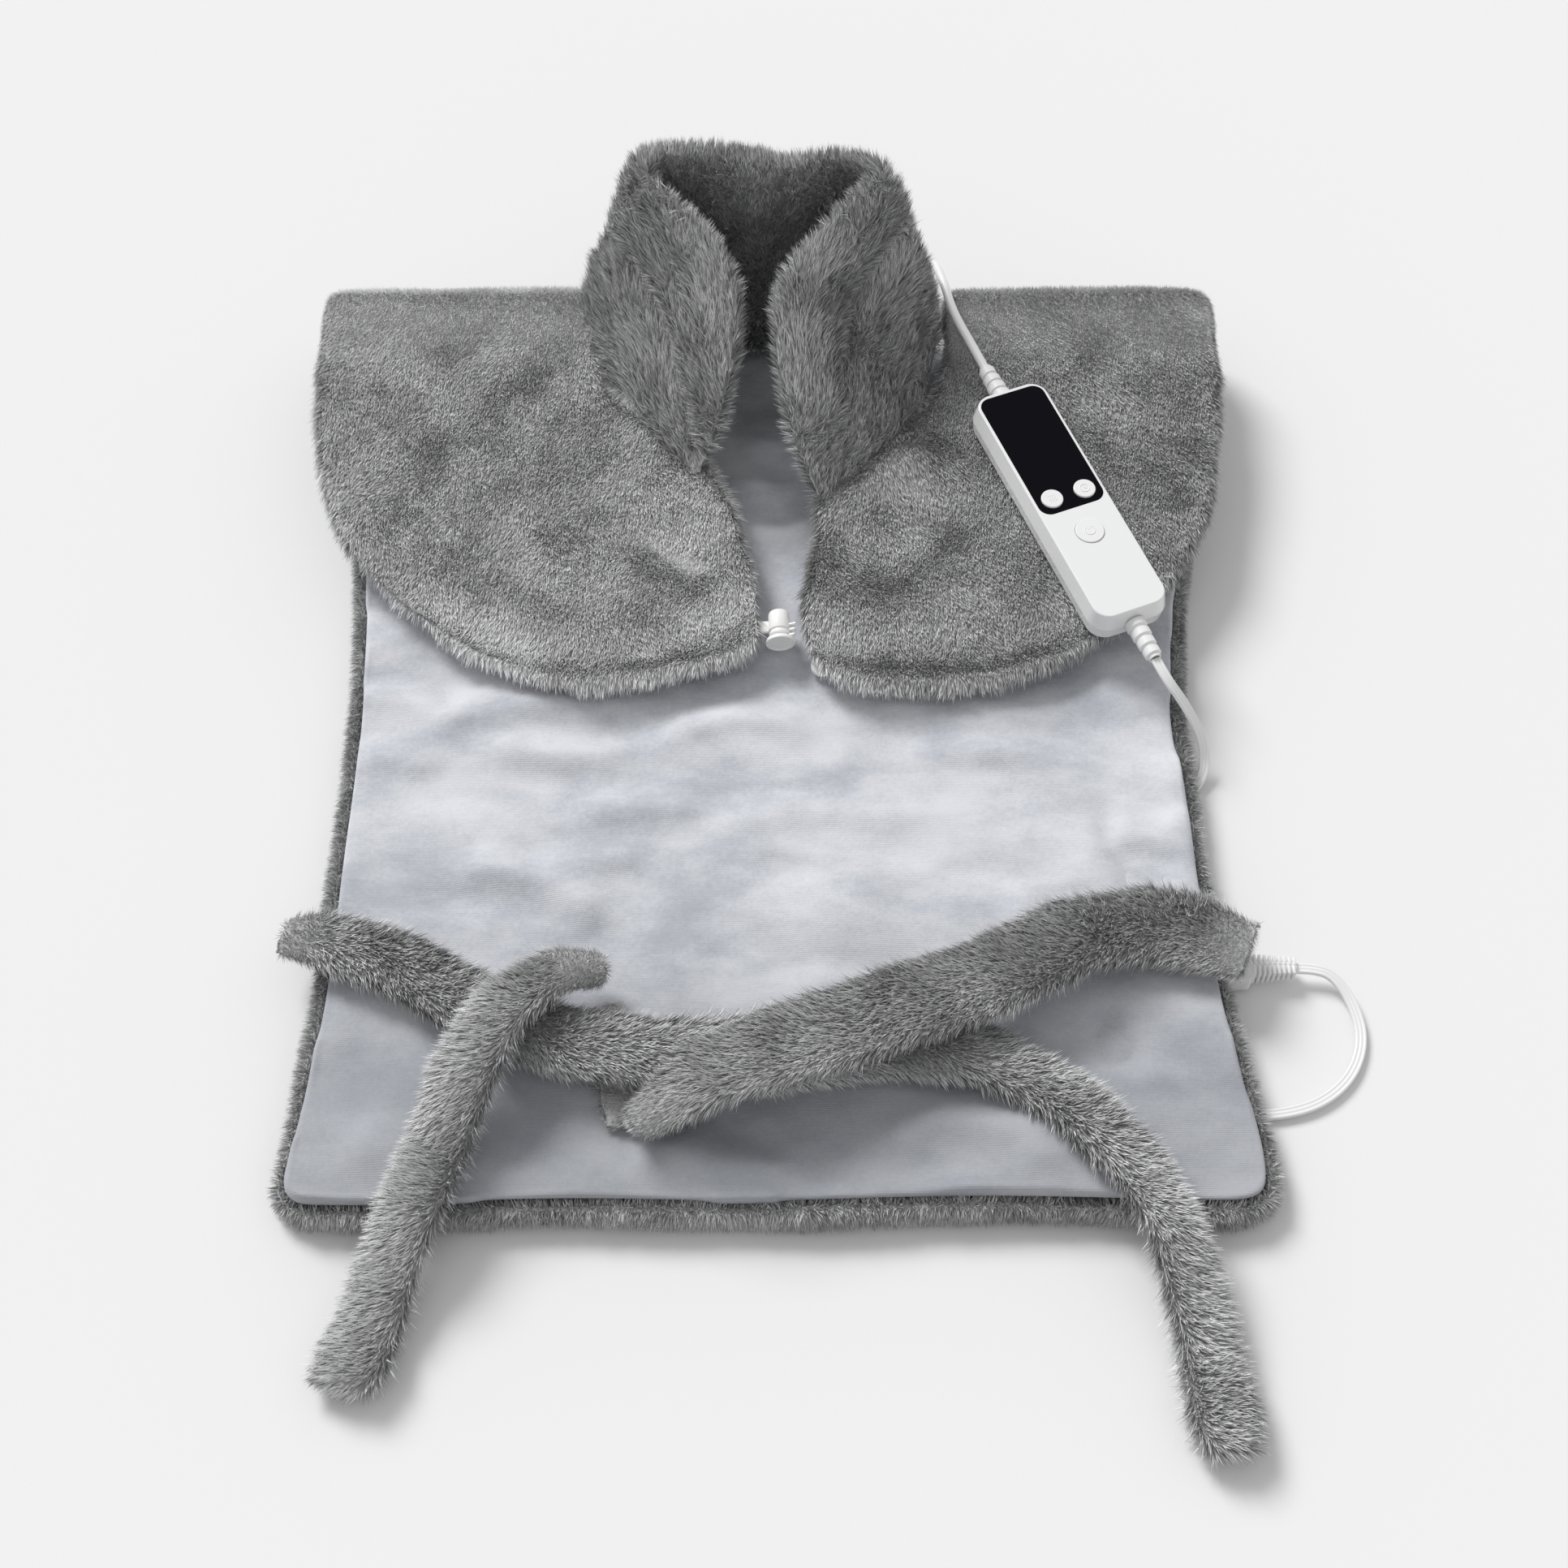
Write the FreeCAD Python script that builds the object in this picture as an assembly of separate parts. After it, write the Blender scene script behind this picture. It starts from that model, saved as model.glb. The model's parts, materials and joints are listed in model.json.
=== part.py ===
"""Heated neck, shoulder and back wrap: one STEP file per piece, in millimetres.

+Z is up, +Y points from the waist hem to the collar, +X is to the right as the lining faces up.
The origin is at the centre of the wrap on the surface that it lies on.
"""

import FreeCAD, Part
import math
import os

V = FreeCAD.Vector
UP = V(0, 0, 1)

# ---- back panel: layers from the surface upwards ----
SHELL_FLOOR = 8.0          # fur fabric with its pile, under the panel
RIM_TOP = 17.0             # rolled fur edge round the lining
RIM_WIDTH = 9.0
LAYER_GAP = 0.3            # air between soft layers
WADDING_TOP = 14.0
CARRIER_TOP = 14.8
CARRIER_LENGTH = 530.0
CARRIER_WIDTH = 440.0
CARRIER_MIDDLE = 40.0
LINING_LOW = 16.6
LINING_TOP = 20.0

# ---- front flaps and shoulder fold ----
HINGE_Y = 352.0            # shoulder fold line
HINGE_Z = 21.0
FLAP_LINING_THICK = 4.0

# ---- collar ----
COLLAR_BASE_Z = 20.4
COLLAR_TOP_Z = 159.0
COLLAR_LEAN = 21.0         # its top stands this far behind its base
COLLAR_SEAM = (228.0, 51.5, 0.1)    # the fronts' lower edge: y, z, rise per mm backwards
COLLAR_RIM = (292.0, 128.0, 0.58)   # the fronts' upper edge
NECK_ROWS = 4
NECK_PITCH = 28.0
NECK_FIRST_Z = 45.0
NECK_HALF = 52.0

# ---- belts ----
BELT_WIDTH = 50.0
BELT_THICK = 20.0

# ---- hand controller, in its own frame: Y along its length, Z out of its face ----
CTRL_LENGTH = 176.0
CTRL_WIDTH = 49.0
CTRL_HEIGHT = 20.0
CTRL_FACE_INSET = 2.2      # the side walls lean in by this much up to the face
CTRL_SPLIT = 9.0           # height of the joint between the two shells
CTRL_WALL = 2.0
CTRL_CORNER = 12.0
CTRL_CENTRE = V(176, 178, 48.2)   # middle of its underside, on the right flap
CTRL_TURN = 22.3           # degrees, turned about +Z
CTRL_SLOPE = 4.0           # degrees, its lower end lies lower
LENS_LENGTH = 92.0
LENS_WIDTH = 41.0
LENS_THICK = 1.6
LENS_MIDDLE = 37.5
ROUND_BUTTON_R = 6.5
ROUND_BUTTON_Y = 1.5
ROUND_BUTTON_X = 10.5
POWER_BUTTON_R = 8.5
POWER_BUTTON_Y = -27.0
BUTTON_CLEARANCE = 0.25
BUTTON_TRAVEL = 0.8
SWITCH_TOP = 14.2
BOARD_LOW = 9.4
BOARD_TOP = 11.0

# ---- leads ----
LEAD_R = 2.75              # mains lead
LOOP_R = 3.0               # flat three-core lead, half its width
GROOVE_X = 206.0           # groove in the underside that holds the panel lead
GROOVE_WIDTH = 7.4
GROOVE_DEPTH = 7.0
RELIEF_LENGTH = 26.0
COIL_CENTRE = V(22, 436, 0)
COIL_MIDDLE_R = 30.0
COIL_TURNS_ACROSS = 3
COIL_LAYERS = 3
COIL_LIFT = 1.2

# ---- connector at the right edge ----
CONNECTOR_Y = -105.0
CONNECTOR_Z = 9.0
CONNECTOR_FACE_X = 243.0   # where the plug leaves the panel edge
SOCKET_DEPTH = 28.0

PANEL = [(-247, -240), (-232, -250), (-190, -251), (-98, -247), (0, -250), (100, -245), (190, -248),
         (240, -249), (257, -240), (259, -215), (250, -160), (242, -80), (241, 0), (237, 50), (245, 120),
         (258, 200), (268, 280), (274, 336), (258, 351), (180, 349), (0, 351), (-180, 349), (-260, 351),
         (-276, 336), (-268, 270), (-248, 170), (-238, 75), (-238, -26), (-237, -130), (-243, -200)]

LEFT_FLAP = [(-277, 363), (-240, 366), (-190, 367), (-125, 366), (-106, 360), (-106, 310), (-100, 280),
             (-70, 252), (-37, 229), (-20, 190), (-5, 140), (0, 104), (-8, 86), (-35, 76), (-70, 65),
             (-105, 61), (-140, 68), (-180, 90), (-222, 124), (-247, 158), (-268, 205), (-279, 280),
             (-282, 345)]

RIGHT_FLAP = [(275, 366), (225, 368), (170, 366), (125, 366), (110, 360), (110, 310), (104, 276),
              (75, 248), (36, 222), (30, 190), (25, 146), (18, 104), (24, 76), (50, 62), (95, 60),
              (141, 67), (190, 92), (232, 127), (252, 160), (269, 205), (279, 280), (282, 345)]

# height of the flap's outer face, then of its inner face, from the fold forwards: (y, z)
FLAP_OUTER = [(353.0, 21.4), (364.0, 28.0), (369.0, 42.0), (362.0, 56.0), (340.0, 60.0), (280.0, 54.0),
              (200.0, 47.0), (120.0, 42.0), (50.0, 40.0)]
FLAP_INNER = [(50.0, 27.0), (120.0, 28.0), (200.0, 32.0), (280.0, 37.0), (325.0, 38.0), (342.0, 31.0)]


# ------------------------------------------------------------------ helpers

def closed_outline(points, z=0.0):
    """Closed wire in plan: runs joined by tangent arcs, as large as the runs allow."""
    corners = [V(x, y, z) for x, y in points]
    arcs = []
    for before, here, after in zip(corners[-1:] + corners[:-1], corners, corners[1:] + corners[:1]):
        into = (here - before).normalize()
        out = (after - here).normalize()
        reach = 0.45 * min(before.distanceToPoint(here), here.distanceToPoint(after))
        sag = reach * math.tan(into.getAngle(out) / 4)
        arcs.append((here - into * reach, here + (out - into).normalize() * sag, here + out * reach))
    edges = []
    for arc, following in zip(arcs, arcs[1:] + arcs[:1]):
        edges.append(Part.Arc(*arc).toShape())
        edges.append(Part.LineSegment(arc[2], following[0]).toShape())
    return Part.Wire(edges)


def plate(points, low, high):
    """Flat piece with a smooth outline, from one height to another."""
    return Part.Face(closed_outline(points, low)).extrude(UP * (high - low))


def inset(points, distance):
    """The same outline, moved inwards by a distance."""
    area = sum(a[0] * b[1] - b[0] * a[1] for a, b in zip(points, points[1:] + points[:1]))
    side = 1 if area > 0 else -1
    moved = []
    for before, here, after in zip(points[-1:] + points[:-1], points, points[1:] + points[:1]):
        along = V(after[0] - before[0], after[1] - before[1], 0).normalize()
        moved.append((here[0] - side * along.y * distance, here[1] + side * along.x * distance))
    return moved


def box(low, high):
    return Part.makeBox(high[0] - low[0], high[1] - low[1], high[2] - low[2], V(*low))


def rounded_plate(length, width, corner, low, high, middle=(0, 0)):
    """Plate with round corners, long along Y."""
    solid = box((middle[0] - width / 2, middle[1] - length / 2, low),
                (middle[0] + width / 2, middle[1] + length / 2, high))
    upright = [e for e in solid.Edges if abs(e.tangentAt(e.FirstParameter).z) > 0.99]
    return solid.makeFillet(corner, upright)


def cylinder(radius, low, high, x, y):
    return Part.makeCylinder(radius, high - low, V(x, y, low))


def rounded_path(points, report=None):
    """Straight runs joined by tangent arcs, each as large as its two runs allow."""
    points = [V(*p) for p in points]
    edges = []
    radii = []
    start = points[0]
    for before, here, after in zip(points, points[1:], points[2:]):
        into = (here - before).normalize()
        out = (after - here).normalize()
        turn = into.getAngle(out)
        reach = 0.45 * min(before.distanceToPoint(here), here.distanceToPoint(after))
        radii.append(reach / math.tan(turn / 2))
        first = here - into * reach
        last = here + out * reach
        middle = here + (out - into).normalize() * (radii[-1] / math.cos(turn / 2) - radii[-1])
        edges.append(Part.LineSegment(start, first).toShape())
        edges.append(Part.Arc(first, middle, last).toShape())
        start = last
    edges.append(Part.LineSegment(start, points[-1]).toShape())
    if report:
        print(report, "radii", [round(r) for r in radii], "length", round(sum(e.Length for e in edges)))
    return Part.Wire(edges)


def tube(points, radius, report=None):
    """Round tube along a path of runs and arcs."""
    path = rounded_path(points, report)
    start = V(*points[0])
    along = (V(*points[1]) - start).normalize()
    ring = Part.Wire([Part.makeCircle(radius, start, along)])
    solid = path.makePipeShell([ring], True, True)
    if report:
        print(report, "volume", round(solid.Volume), "of", round(math.pi * radius ** 2 * path.Length))
    return solid


def ribbed_relief(length, root_r, tip_r, bore_r, ribs):
    """Tapered strain relief along +Y from the origin, with grooves between its ribs."""
    pitch = length / ribs
    outline = [V(bore_r, 0, 0)]
    for n in range(ribs):
        r = root_r + (tip_r - root_r) * n / ribs
        y = n * pitch
        outline += [V(r, y, 0), V(r, y + pitch * 0.62, 0), V(r - 1.2, y + pitch * 0.74, 0), V(r - 1.2, y + pitch, 0)]
    outline += [V(bore_r, length, 0), V(bore_r, 0, 0)]
    return Part.Face(Part.makePolygon(outline)).revolve(V(0, 0, 0), V(0, 1, 0), 360)


def soft_strip(stations, width=BELT_WIDTH, thick=BELT_THICK):
    """Stuffed strip through stations (x, y, z, width factor); its section is an ellipse."""
    centres = [V(x, y, z) for x, y, z, _ in stations]
    rings = []
    for n, (centre, station) in enumerate(zip(centres, stations)):
        along = (centres[min(n + 1, len(centres) - 1)] - centres[max(n - 1, 0)]).normalize()
        across = along.cross(UP).normalize()
        major = max(width / 2 * station[3], thick / 2 + 0.5)
        ellipse = Part.Ellipse(centre + across * major, centre + across.cross(along) * thick / 2, centre)
        rings.append(Part.Wire([ellipse.toShape()]))
    return Part.makeLoft(rings, True, True)


def wall(outer_low, outer_high, inner_low, inner_high):
    """Standing soft wall between two faces, each given by a lower and an upper curve."""
    def ring(outer, inner):
        sides = []
        for run in (outer, inner):
            curve = Part.BSplineCurve()
            curve.interpolate([V(*p) for p in run])
            sides.append(curve.toShape())
        ends = [Part.makeLine(V(*outer[-1]), V(*inner[0])), Part.makeLine(V(*inner[-1]), V(*outer[0]))]
        return Part.Wire([sides[0], ends[0], sides[1], ends[1]])
    return Part.makeLoft([ring(outer_low, inner_low), ring(outer_high, inner_high)], True, True)


# ------------------------------------------------------------------ back panel

def back_panel():
    lining_edge = inset(PANEL, RIM_WIDTH)
    cavity_edge = inset(PANEL, RIM_WIDTH - LAYER_GAP)
    layer_edge = inset(PANEL, RIM_WIDTH + 3)
    socket_room = box((CONNECTOR_FACE_X - SOCKET_DEPTH - 0.4, CONNECTOR_Y - 10.4, 2.6),
                      (CONNECTOR_FACE_X + 30, CONNECTOR_Y + 10.4, CARRIER_TOP + 0.5))
    groove_low = GROOVE_X - GROOVE_WIDTH / 2
    groove = box((groove_low, -200, 0), (groove_low + GROOVE_WIDTH, 30, GROOVE_DEPTH))
    upper_way = box((groove_low, -44, 0), (GROOVE_X + 50, 46, GROOVE_DEPTH))
    lower_way = box((groove_low, -204, 0), (GROOVE_X + 60, -132, GROOVE_DEPTH))
    shell = plate(PANEL, 0, RIM_TOP).cut(plate(cavity_edge, SHELL_FLOOR, RIM_TOP + 5))
    shell = shell.cut(groove.fuse([upper_way, lower_way])).cut(socket_room)
    cutout_room = [box((x - 9, y - 5, WADDING_TOP - 4), (x + 9, y + 5, WADDING_TOP + 1)) for x, y in CUTOUTS]
    wadding = plate(layer_edge, SHELL_FLOOR + LAYER_GAP, WADDING_TOP - 0.2).cut(socket_room)
    wadding = wadding.cut(cutout_room[0].fuse(cutout_room[1:]))
    carrier = rounded_plate(CARRIER_LENGTH, CARRIER_WIDTH, 20, WADDING_TOP, CARRIER_TOP, (0, CARRIER_MIDDLE))
    carrier = carrier.cut(socket_room)
    lining = plate(lining_edge, LINING_LOW, LINING_TOP)
    return {"back_shell": shell, "back_wadding": wadding, "heating_carrier": carrier, "back_lining": lining}


WIRE_R = 0.8
WIRE_ROWS = 9
WIRE_PITCH = 46.0
WIRE_HALF = 165.0
WIRE_FIRST_Y = -190.0
CUTOUTS = [(-90, 20), (110, 20)]


def heating():
    """Serpentine wire on the carrier, its feed wires and the thermal cut-outs under the carrier."""
    wire_z = CARRIER_TOP + WIRE_R + 0.05
    edges = []
    for row in range(WIRE_ROWS):
        y = WIRE_FIRST_Y + row * WIRE_PITCH
        side = 1 if row % 2 == 0 else -1
        edges.append(Part.LineSegment(V(side * WIRE_HALF, y, wire_z), V(-side * WIRE_HALF, y, wire_z)).toShape())
        if row < WIRE_ROWS - 1:
            turn = V(-side * (WIRE_HALF + WIRE_PITCH / 2), y + WIRE_PITCH / 2, wire_z)
            edges.append(Part.Arc(V(-side * WIRE_HALF, y, wire_z), turn,
                                  V(-side * WIRE_HALF, y + WIRE_PITCH, wire_z)).toShape())
    ring = Part.Wire([Part.makeCircle(WIRE_R, V(WIRE_HALF, WIRE_FIRST_Y, wire_z), V(-1, 0, 0))])
    wire = Part.Wire(edges).makePipeShell([ring], True, True)
    feed_x = CONNECTOR_FACE_X - SOCKET_DEPTH - 0.6
    feed = tube([(feed_x, CONNECTOR_Y + 4, wire_z), (feed_x - 14, CONNECTOR_Y - 2, wire_z),
                 (feed_x - 20, CONNECTOR_Y - 30, wire_z), (feed_x - 19, CONNECTOR_Y - 60, wire_z),
                 (feed_x - 30, WIRE_FIRST_Y + 3, wire_z), (WIRE_HALF + 0.1, WIRE_FIRST_Y, wire_z)], WIRE_R)
    sensors = [rounded_plate(6, 14, 1.5, WADDING_TOP - 3.4, WADDING_TOP - 0.2, at) for at in CUTOUTS]
    return {"heating_wire": wire, "internal_lead": feed, "overheat_cutouts": Part.Compound(sensors)}


# ------------------------------------------------------------------ flaps and collar

def flap_band(outer, inner):
    """The flap's side profile as a band that runs the full width."""
    top = Part.BSplineCurve()
    top.interpolate([V(-300, y, z) for y, z in outer])
    low = Part.BSplineCurve()
    low.interpolate([V(-300, y, z) for y, z in inner])
    front = Part.makeLine(V(-300, *outer[-1]), V(-300, *inner[0]))
    back = Part.makeLine(V(-300, *inner[-1]), V(-300, *outer[0]))
    face = Part.Face(Part.Wire([top.toShape(), front, low.toShape(), back]))
    return face.extrude(V(600, 0, 0))


def flaps():
    """Each flap is its outline in plan cut out of the profile band; the lining backs the fur."""
    raised = [(y, z + FLAP_LINING_THICK) for y, z in FLAP_INNER]
    lining_top = [(y, z + FLAP_LINING_THICK - 0.1) for y, z in reversed(FLAP_INNER)]
    fur_band = flap_band(FLAP_OUTER, raised)
    lining_band = flap_band(lining_top, FLAP_INNER)
    parts = {}
    for side, outline in (("left", LEFT_FLAP), ("right", RIGHT_FLAP)):
        parts[side + "_flap"] = plate(outline, 0, 90).common(fur_band)
        parts[side + "_flap_lining"] = plate(inset(outline, 8), 0, 90).common(lining_band)
    return parts


def on_slope(points, y, z, rise):
    """Points in plan, lifted to a plane that passes (y, z) and rises backwards."""
    return [(px, py, z + rise * (py - y)) for px, py in points]


def collar_side(mirror, shift):
    """Front half of the collar, leaning back from the neck seam on the flap."""
    def placed(points, *slope):
        return on_slope([(mirror * x + shift, y) for x, y in points], *slope)
    return wall(placed([(-36, 228), (-76, 256), (-110, 292), (-120, 326)], *COLLAR_SEAM),
                placed([(-20, 292), (-46, 310), (-76, 326), (-95, 338)], *COLLAR_RIM),
                placed([(-104, 326), (-95, 300), (-68, 272), (-27, 242)], *COLLAR_SEAM),
                placed([(-84, 345), (-68, 341), (-38, 325), (-9, 304)], *COLLAR_RIM))


def collar():
    """Standing collar: the part behind the neck, and two fronts that lean back from the neck seam."""
    def back_wall(grow, low, high):
        lean = (high - COLLAR_BASE_Z) / (COLLAR_TOP_Z - COLLAR_BASE_Z)
        sink = (low - COLLAR_BASE_Z) / (COLLAR_TOP_Z - COLLAR_BASE_Z)
        outer = [(-98 + grow, 334), (-84, 347 - grow), (0, 350 - grow), (80, 347 - grow), (94 - grow, 334)]
        inner = [(80 + grow, 326), (68, 331 + grow), (0, 334 + grow), (-70, 331 + grow), (-84 - grow, 326)]
        rings = []
        for run in (outer, inner):
            rings.append([(x * (1 - 0.06 * sink), y + COLLAR_LEAN * sink, low) for x, y in run])
            rings.append([(x * (1 - 0.06 * lean), y + COLLAR_LEAN * lean, high) for x, y in run])
        return wall(*rings)
    stiffener = back_wall(7.2, 30, 145)
    wire = neck_wire()
    back = back_wall(0, COLLAR_BASE_Z, COLLAR_TOP_Z).cut(stiffener).cut(wire)
    return {"collar_back": back, "collar_stiffener": stiffener, "neck_heating_wire": wire,
            "collar_left": collar_side(1, -4), "collar_right": collar_side(-1, -9)}


def neck_wire():
    """Zigzag heating wire in the collar, in the plane that leans with its inner face."""
    lean = COLLAR_LEAN / (COLLAR_TOP_Z - COLLAR_BASE_Z)
    route = []
    for row in range(NECK_ROWS):
        z = NECK_FIRST_Z + row * NECK_PITCH
        y = 337.0 + lean * (z - COLLAR_BASE_Z)
        side = 1 if row % 2 == 0 else -1
        route += [(side * NECK_HALF, y, z), (-side * NECK_HALF, y, z)]
    return tube(route, WIRE_R)


def clasp():
    """Two halves of a white snap clasp at the inner corners of the flaps."""
    axis = V(0.1, -1, -0.12).normalize()
    start = V(8, 117, 38)
    barrel = Part.makeCylinder(6.5, 19, start, axis)
    flange = Part.makeCylinder(8.5, 2.4, start + axis * 19, axis)
    tab = box((-9, 100, 34), (3.5, 112, 37))
    socket = barrel.fuse(flange).cut(Part.makeCylinder(4.2, 8, start + axis * 14, axis))
    stud_at = V(32, 84, 27.0)
    stud = Part.makeCylinder(6.5, 2.0, stud_at, UP * -1).fuse(Part.makeCylinder(3.6, 3.4, stud_at - UP * 2, UP * -1))
    return {"clasp_socket": socket.fuse(tab), "clasp_stud": stud}


# ------------------------------------------------------------------ belts

def belts():
    """Two stuffed fur belts sewn to the sides and crossed in a loose half-knot."""
    left = soft_strip([(-258, -94, 24, 0.6), (-236, -98, 31, 0.75), (-190, -115, 31, 0.78), (-150, -140, 33, 0.82),
                       (-105, -162, 38.5, 0.9), (-55, -170, 38.5, 0.9), (0, -166, 33, 0.95),
                       (60, -160, 31, 0.88), (110, -166, 31, 0.76), (152, -190, 31, 0.7), (182, -224, 31, 0.66),
                       (199, -258, 31, 0.64), (208, -290, 17, 0.64), (213, -318, 11.2, 0.66), (217, -345, 11.2, 0.76),
                       (219, -366, 11.2, 0.56)])
    right = soft_strip([(258, -108, 29, 0.85), (234, -98, 31, 1), (205, -91, 34, 1), (165, -102, 43, 1),
                        (110, -136, 54, 1), (60, -156, 55.5, 1), (10, -173, 56, 1), (-30, -190, 54, 0.85),
                        (-66, -210, 36, 0.5)])
    under = soft_strip([(-68, -208, 24.4, 1), (-74, -168, 24.4, 1), (-86, -132, 24.4, 1)], 40, 6)
    tail = soft_strip([(-84, -122, 38, 0.5), (-104, -132, 57, 0.66), (-130, -154, 62, 0.72), (-148, -186, 50, 0.74),
                       (-161, -220, 33, 0.74), (-172, -250, 31, 0.72), (-181, -276, 18, 0.7), (-189, -300, 11.2, 0.72),
                       (-196, -319, 11.2, 0.82), (-201, -334, 11.2, 0.6)])
    return {"left_belt": left, "right_belt": Part.Compound([right, under, tail])}


# ------------------------------------------------------------------ controller

def seat(shape):
    """Moves a controller piece from its own frame to its place on the right flap."""
    placed = shape.copy()
    turn = FreeCAD.Rotation(UP, CTRL_TURN).multiply(FreeCAD.Rotation(V(1, 0, 0), CTRL_SLOPE))
    placed.Placement = FreeCAD.Placement(CTRL_CENTRE, turn).multiply(placed.Placement)
    return placed


def leaning_shell(low, high, lean_low, lean_high):
    """Round-cornered block whose walls lean in from bottom to top."""
    rings = []
    for z, lean in ((low, lean_low), (high, lean_high)):
        flat = rounded_plate(CTRL_LENGTH - 2 * lean, CTRL_WIDTH - 2 * lean, CTRL_CORNER - lean, z, z + 1)
        face = min(flat.Faces, key=lambda f: f.CenterOfMass.z)
        rings.append(face.OuterWire)
    return Part.makeLoft(rings, True, True)


def button_places():
    """Name, position and radius of each push button."""
    return [("heat_button", -ROUND_BUTTON_X, ROUND_BUTTON_Y, ROUND_BUTTON_R),
            ("timer_button", ROUND_BUTTON_X, ROUND_BUTTON_Y, ROUND_BUTTON_R),
            ("power_button", 0.0, POWER_BUTTON_Y, POWER_BUTTON_R)]


def controller():
    top = leaning_shell(CTRL_SPLIT, CTRL_HEIGHT, 0, CTRL_FACE_INSET)
    rim = [e for e in top.Edges if e.CenterOfMass.z > CTRL_HEIGHT - 0.01]
    top = top.makeFillet(1.0, rim)
    top = top.cut(leaning_shell(CTRL_SPLIT - 0.1, CTRL_HEIGHT - CTRL_WALL, CTRL_WALL, CTRL_FACE_INSET + CTRL_WALL))
    lens_low = CTRL_HEIGHT - LENS_THICK
    top = top.cut(rounded_plate(LENS_LENGTH + 0.4, LENS_WIDTH + 0.4, 7.2, lens_low, CTRL_HEIGHT + 1, (0, LENS_MIDDLE)))
    top = top.cut(rounded_plate(60, 30, 3, CTRL_HEIGHT - 4, CTRL_HEIGHT, (0, LENS_MIDDLE + 10)))
    lens = rounded_plate(LENS_LENGTH, LENS_WIDTH, 7, lens_low + 0.05, CTRL_HEIGHT + 0.1, (0, LENS_MIDDLE))
    bottom = leaning_shell(0, CTRL_SPLIT - 0.1, 1.0, 0)
    sole = [e for e in bottom.Edges if e.CenterOfMass.z < 0.01]
    bottom = bottom.makeFillet(1.5, sole)
    bottom = bottom.cut(leaning_shell(CTRL_WALL, CTRL_SPLIT + 1, CTRL_WALL + 1, CTRL_WALL))
    for side in (-1, 1):
        way = Part.makeCylinder(3.6, 8, V(0, side * (CTRL_LENGTH / 2 - 5), CTRL_SPLIT), V(0, side, 0))
        top = top.cut(way)
        bottom = bottom.cut(way)
    parts = {}
    for name, x, y, r in button_places():
        hole = cylinder(r + BUTTON_CLEARANCE, CTRL_HEIGHT - 5, CTRL_HEIGHT + 2, x, y)
        top = top.cut(hole)
        lens = lens.cut(hole)
        proud = 1.2 if name != "power_button" else 0.7
        cap = cylinder(r, 17.0, CTRL_HEIGHT + proud, x, y)
        edge = [e for e in cap.Edges if e.CenterOfMass.z > CTRL_HEIGHT + 0.3 and e.Closed]
        cap = cap.makeFillet(0.5, edge)
        parts[name] = cap.fuse(cylinder(2.0, SWITCH_TOP + BUTTON_TRAVEL + 1.0, 17.0, x, y))
    screws = []
    for x, y in [(-17, 70), (17, 70), (-17, -70), (17, -70)]:
        post = cylinder(3.0, CTRL_WALL, CTRL_SPLIT - 0.1, x, y)
        bottom = bottom.fuse(post).cut(cylinder(1.35, 0.8, CTRL_SPLIT, x, y)).cut(cylinder(2.6, -1, 1.9, x, y))
        boss = cylinder(3.0, CTRL_SPLIT, CTRL_HEIGHT - 1.7, x, y)
        top = top.fuse(boss).cut(cylinder(1.3, CTRL_SPLIT, CTRL_SPLIT + 6, x, y))
        screws.append(cylinder(2.4, 0.5, 1.85, x, y).fuse(cylinder(1.25, 1.85, CTRL_SPLIT + 5.5, x, y)))
    board = rounded_plate(128, 40, 2, BOARD_LOW, BOARD_TOP, (0, 0)).cut(
        Part.Compound([cylinder(3.4, 0, 30, x, y) for x in (-17, 17) for y in (-70, 70)]))
    display = box((-14, 25, BOARD_TOP + 0.02), (14, 61, BOARD_TOP + 4.5))
    switches = []
    for _, x, y, _ in button_places():
        switches.append(box((x - 3, y - 3, BOARD_TOP + 0.02), (x + 3, y + 3, SWITCH_TOP - 0.6)).fuse(
            cylinder(1.7, SWITCH_TOP - 0.6, SWITCH_TOP, x, y)))
    blocks = [box((-15, -58, BOARD_TOP + 0.02), (-3, -44, BOARD_TOP + 4.5)),
              box((3, -56, BOARD_TOP + 0.02), (15, -47, BOARD_TOP + 3.5)),
              cylinder(4.0, BOARD_TOP + 0.02, BOARD_TOP + 4.8, 10, -38)]
    parts.update({"controller_top_shell": top, "controller_bottom_shell": bottom, "display_lens": lens,
                  "display_module": display, "circuit_board": board, "tact_switches": Part.Compound(switches),
                  "board_components": Part.Compound(blocks), "shell_screws": Part.Compound(screws)})
    relief = ribbed_relief(RELIEF_LENGTH, 6.2, 4.6, LEAD_R + 0.02, 4)
    collar_ring = Part.makeCylinder(3.5, 6.0, V(0, -5.95, 0), V(0, 1, 0)).cut(
        Part.makeCylinder(LEAD_R + 0.02, 8, V(0, -7, 0), V(0, 1, 0)))
    upper = relief.fuse(collar_ring)
    upper.translate(V(0, CTRL_LENGTH / 2 + 0.1, CTRL_SPLIT))
    lower = upper.mirror(V(0, 0, 0), V(0, 1, 0))
    parts.update({"upper_strain_relief": upper, "lower_strain_relief": lower})
    return {name: seat(shape) for name, shape in parts.items()}


# ------------------------------------------------------------------ leads

def in_place(x, y, z):
    """A point of the controller's frame, in the wrap's frame."""
    p = seat(Part.Vertex(V(x, y, z))).Point
    return (p.x, p.y, p.z)


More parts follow.
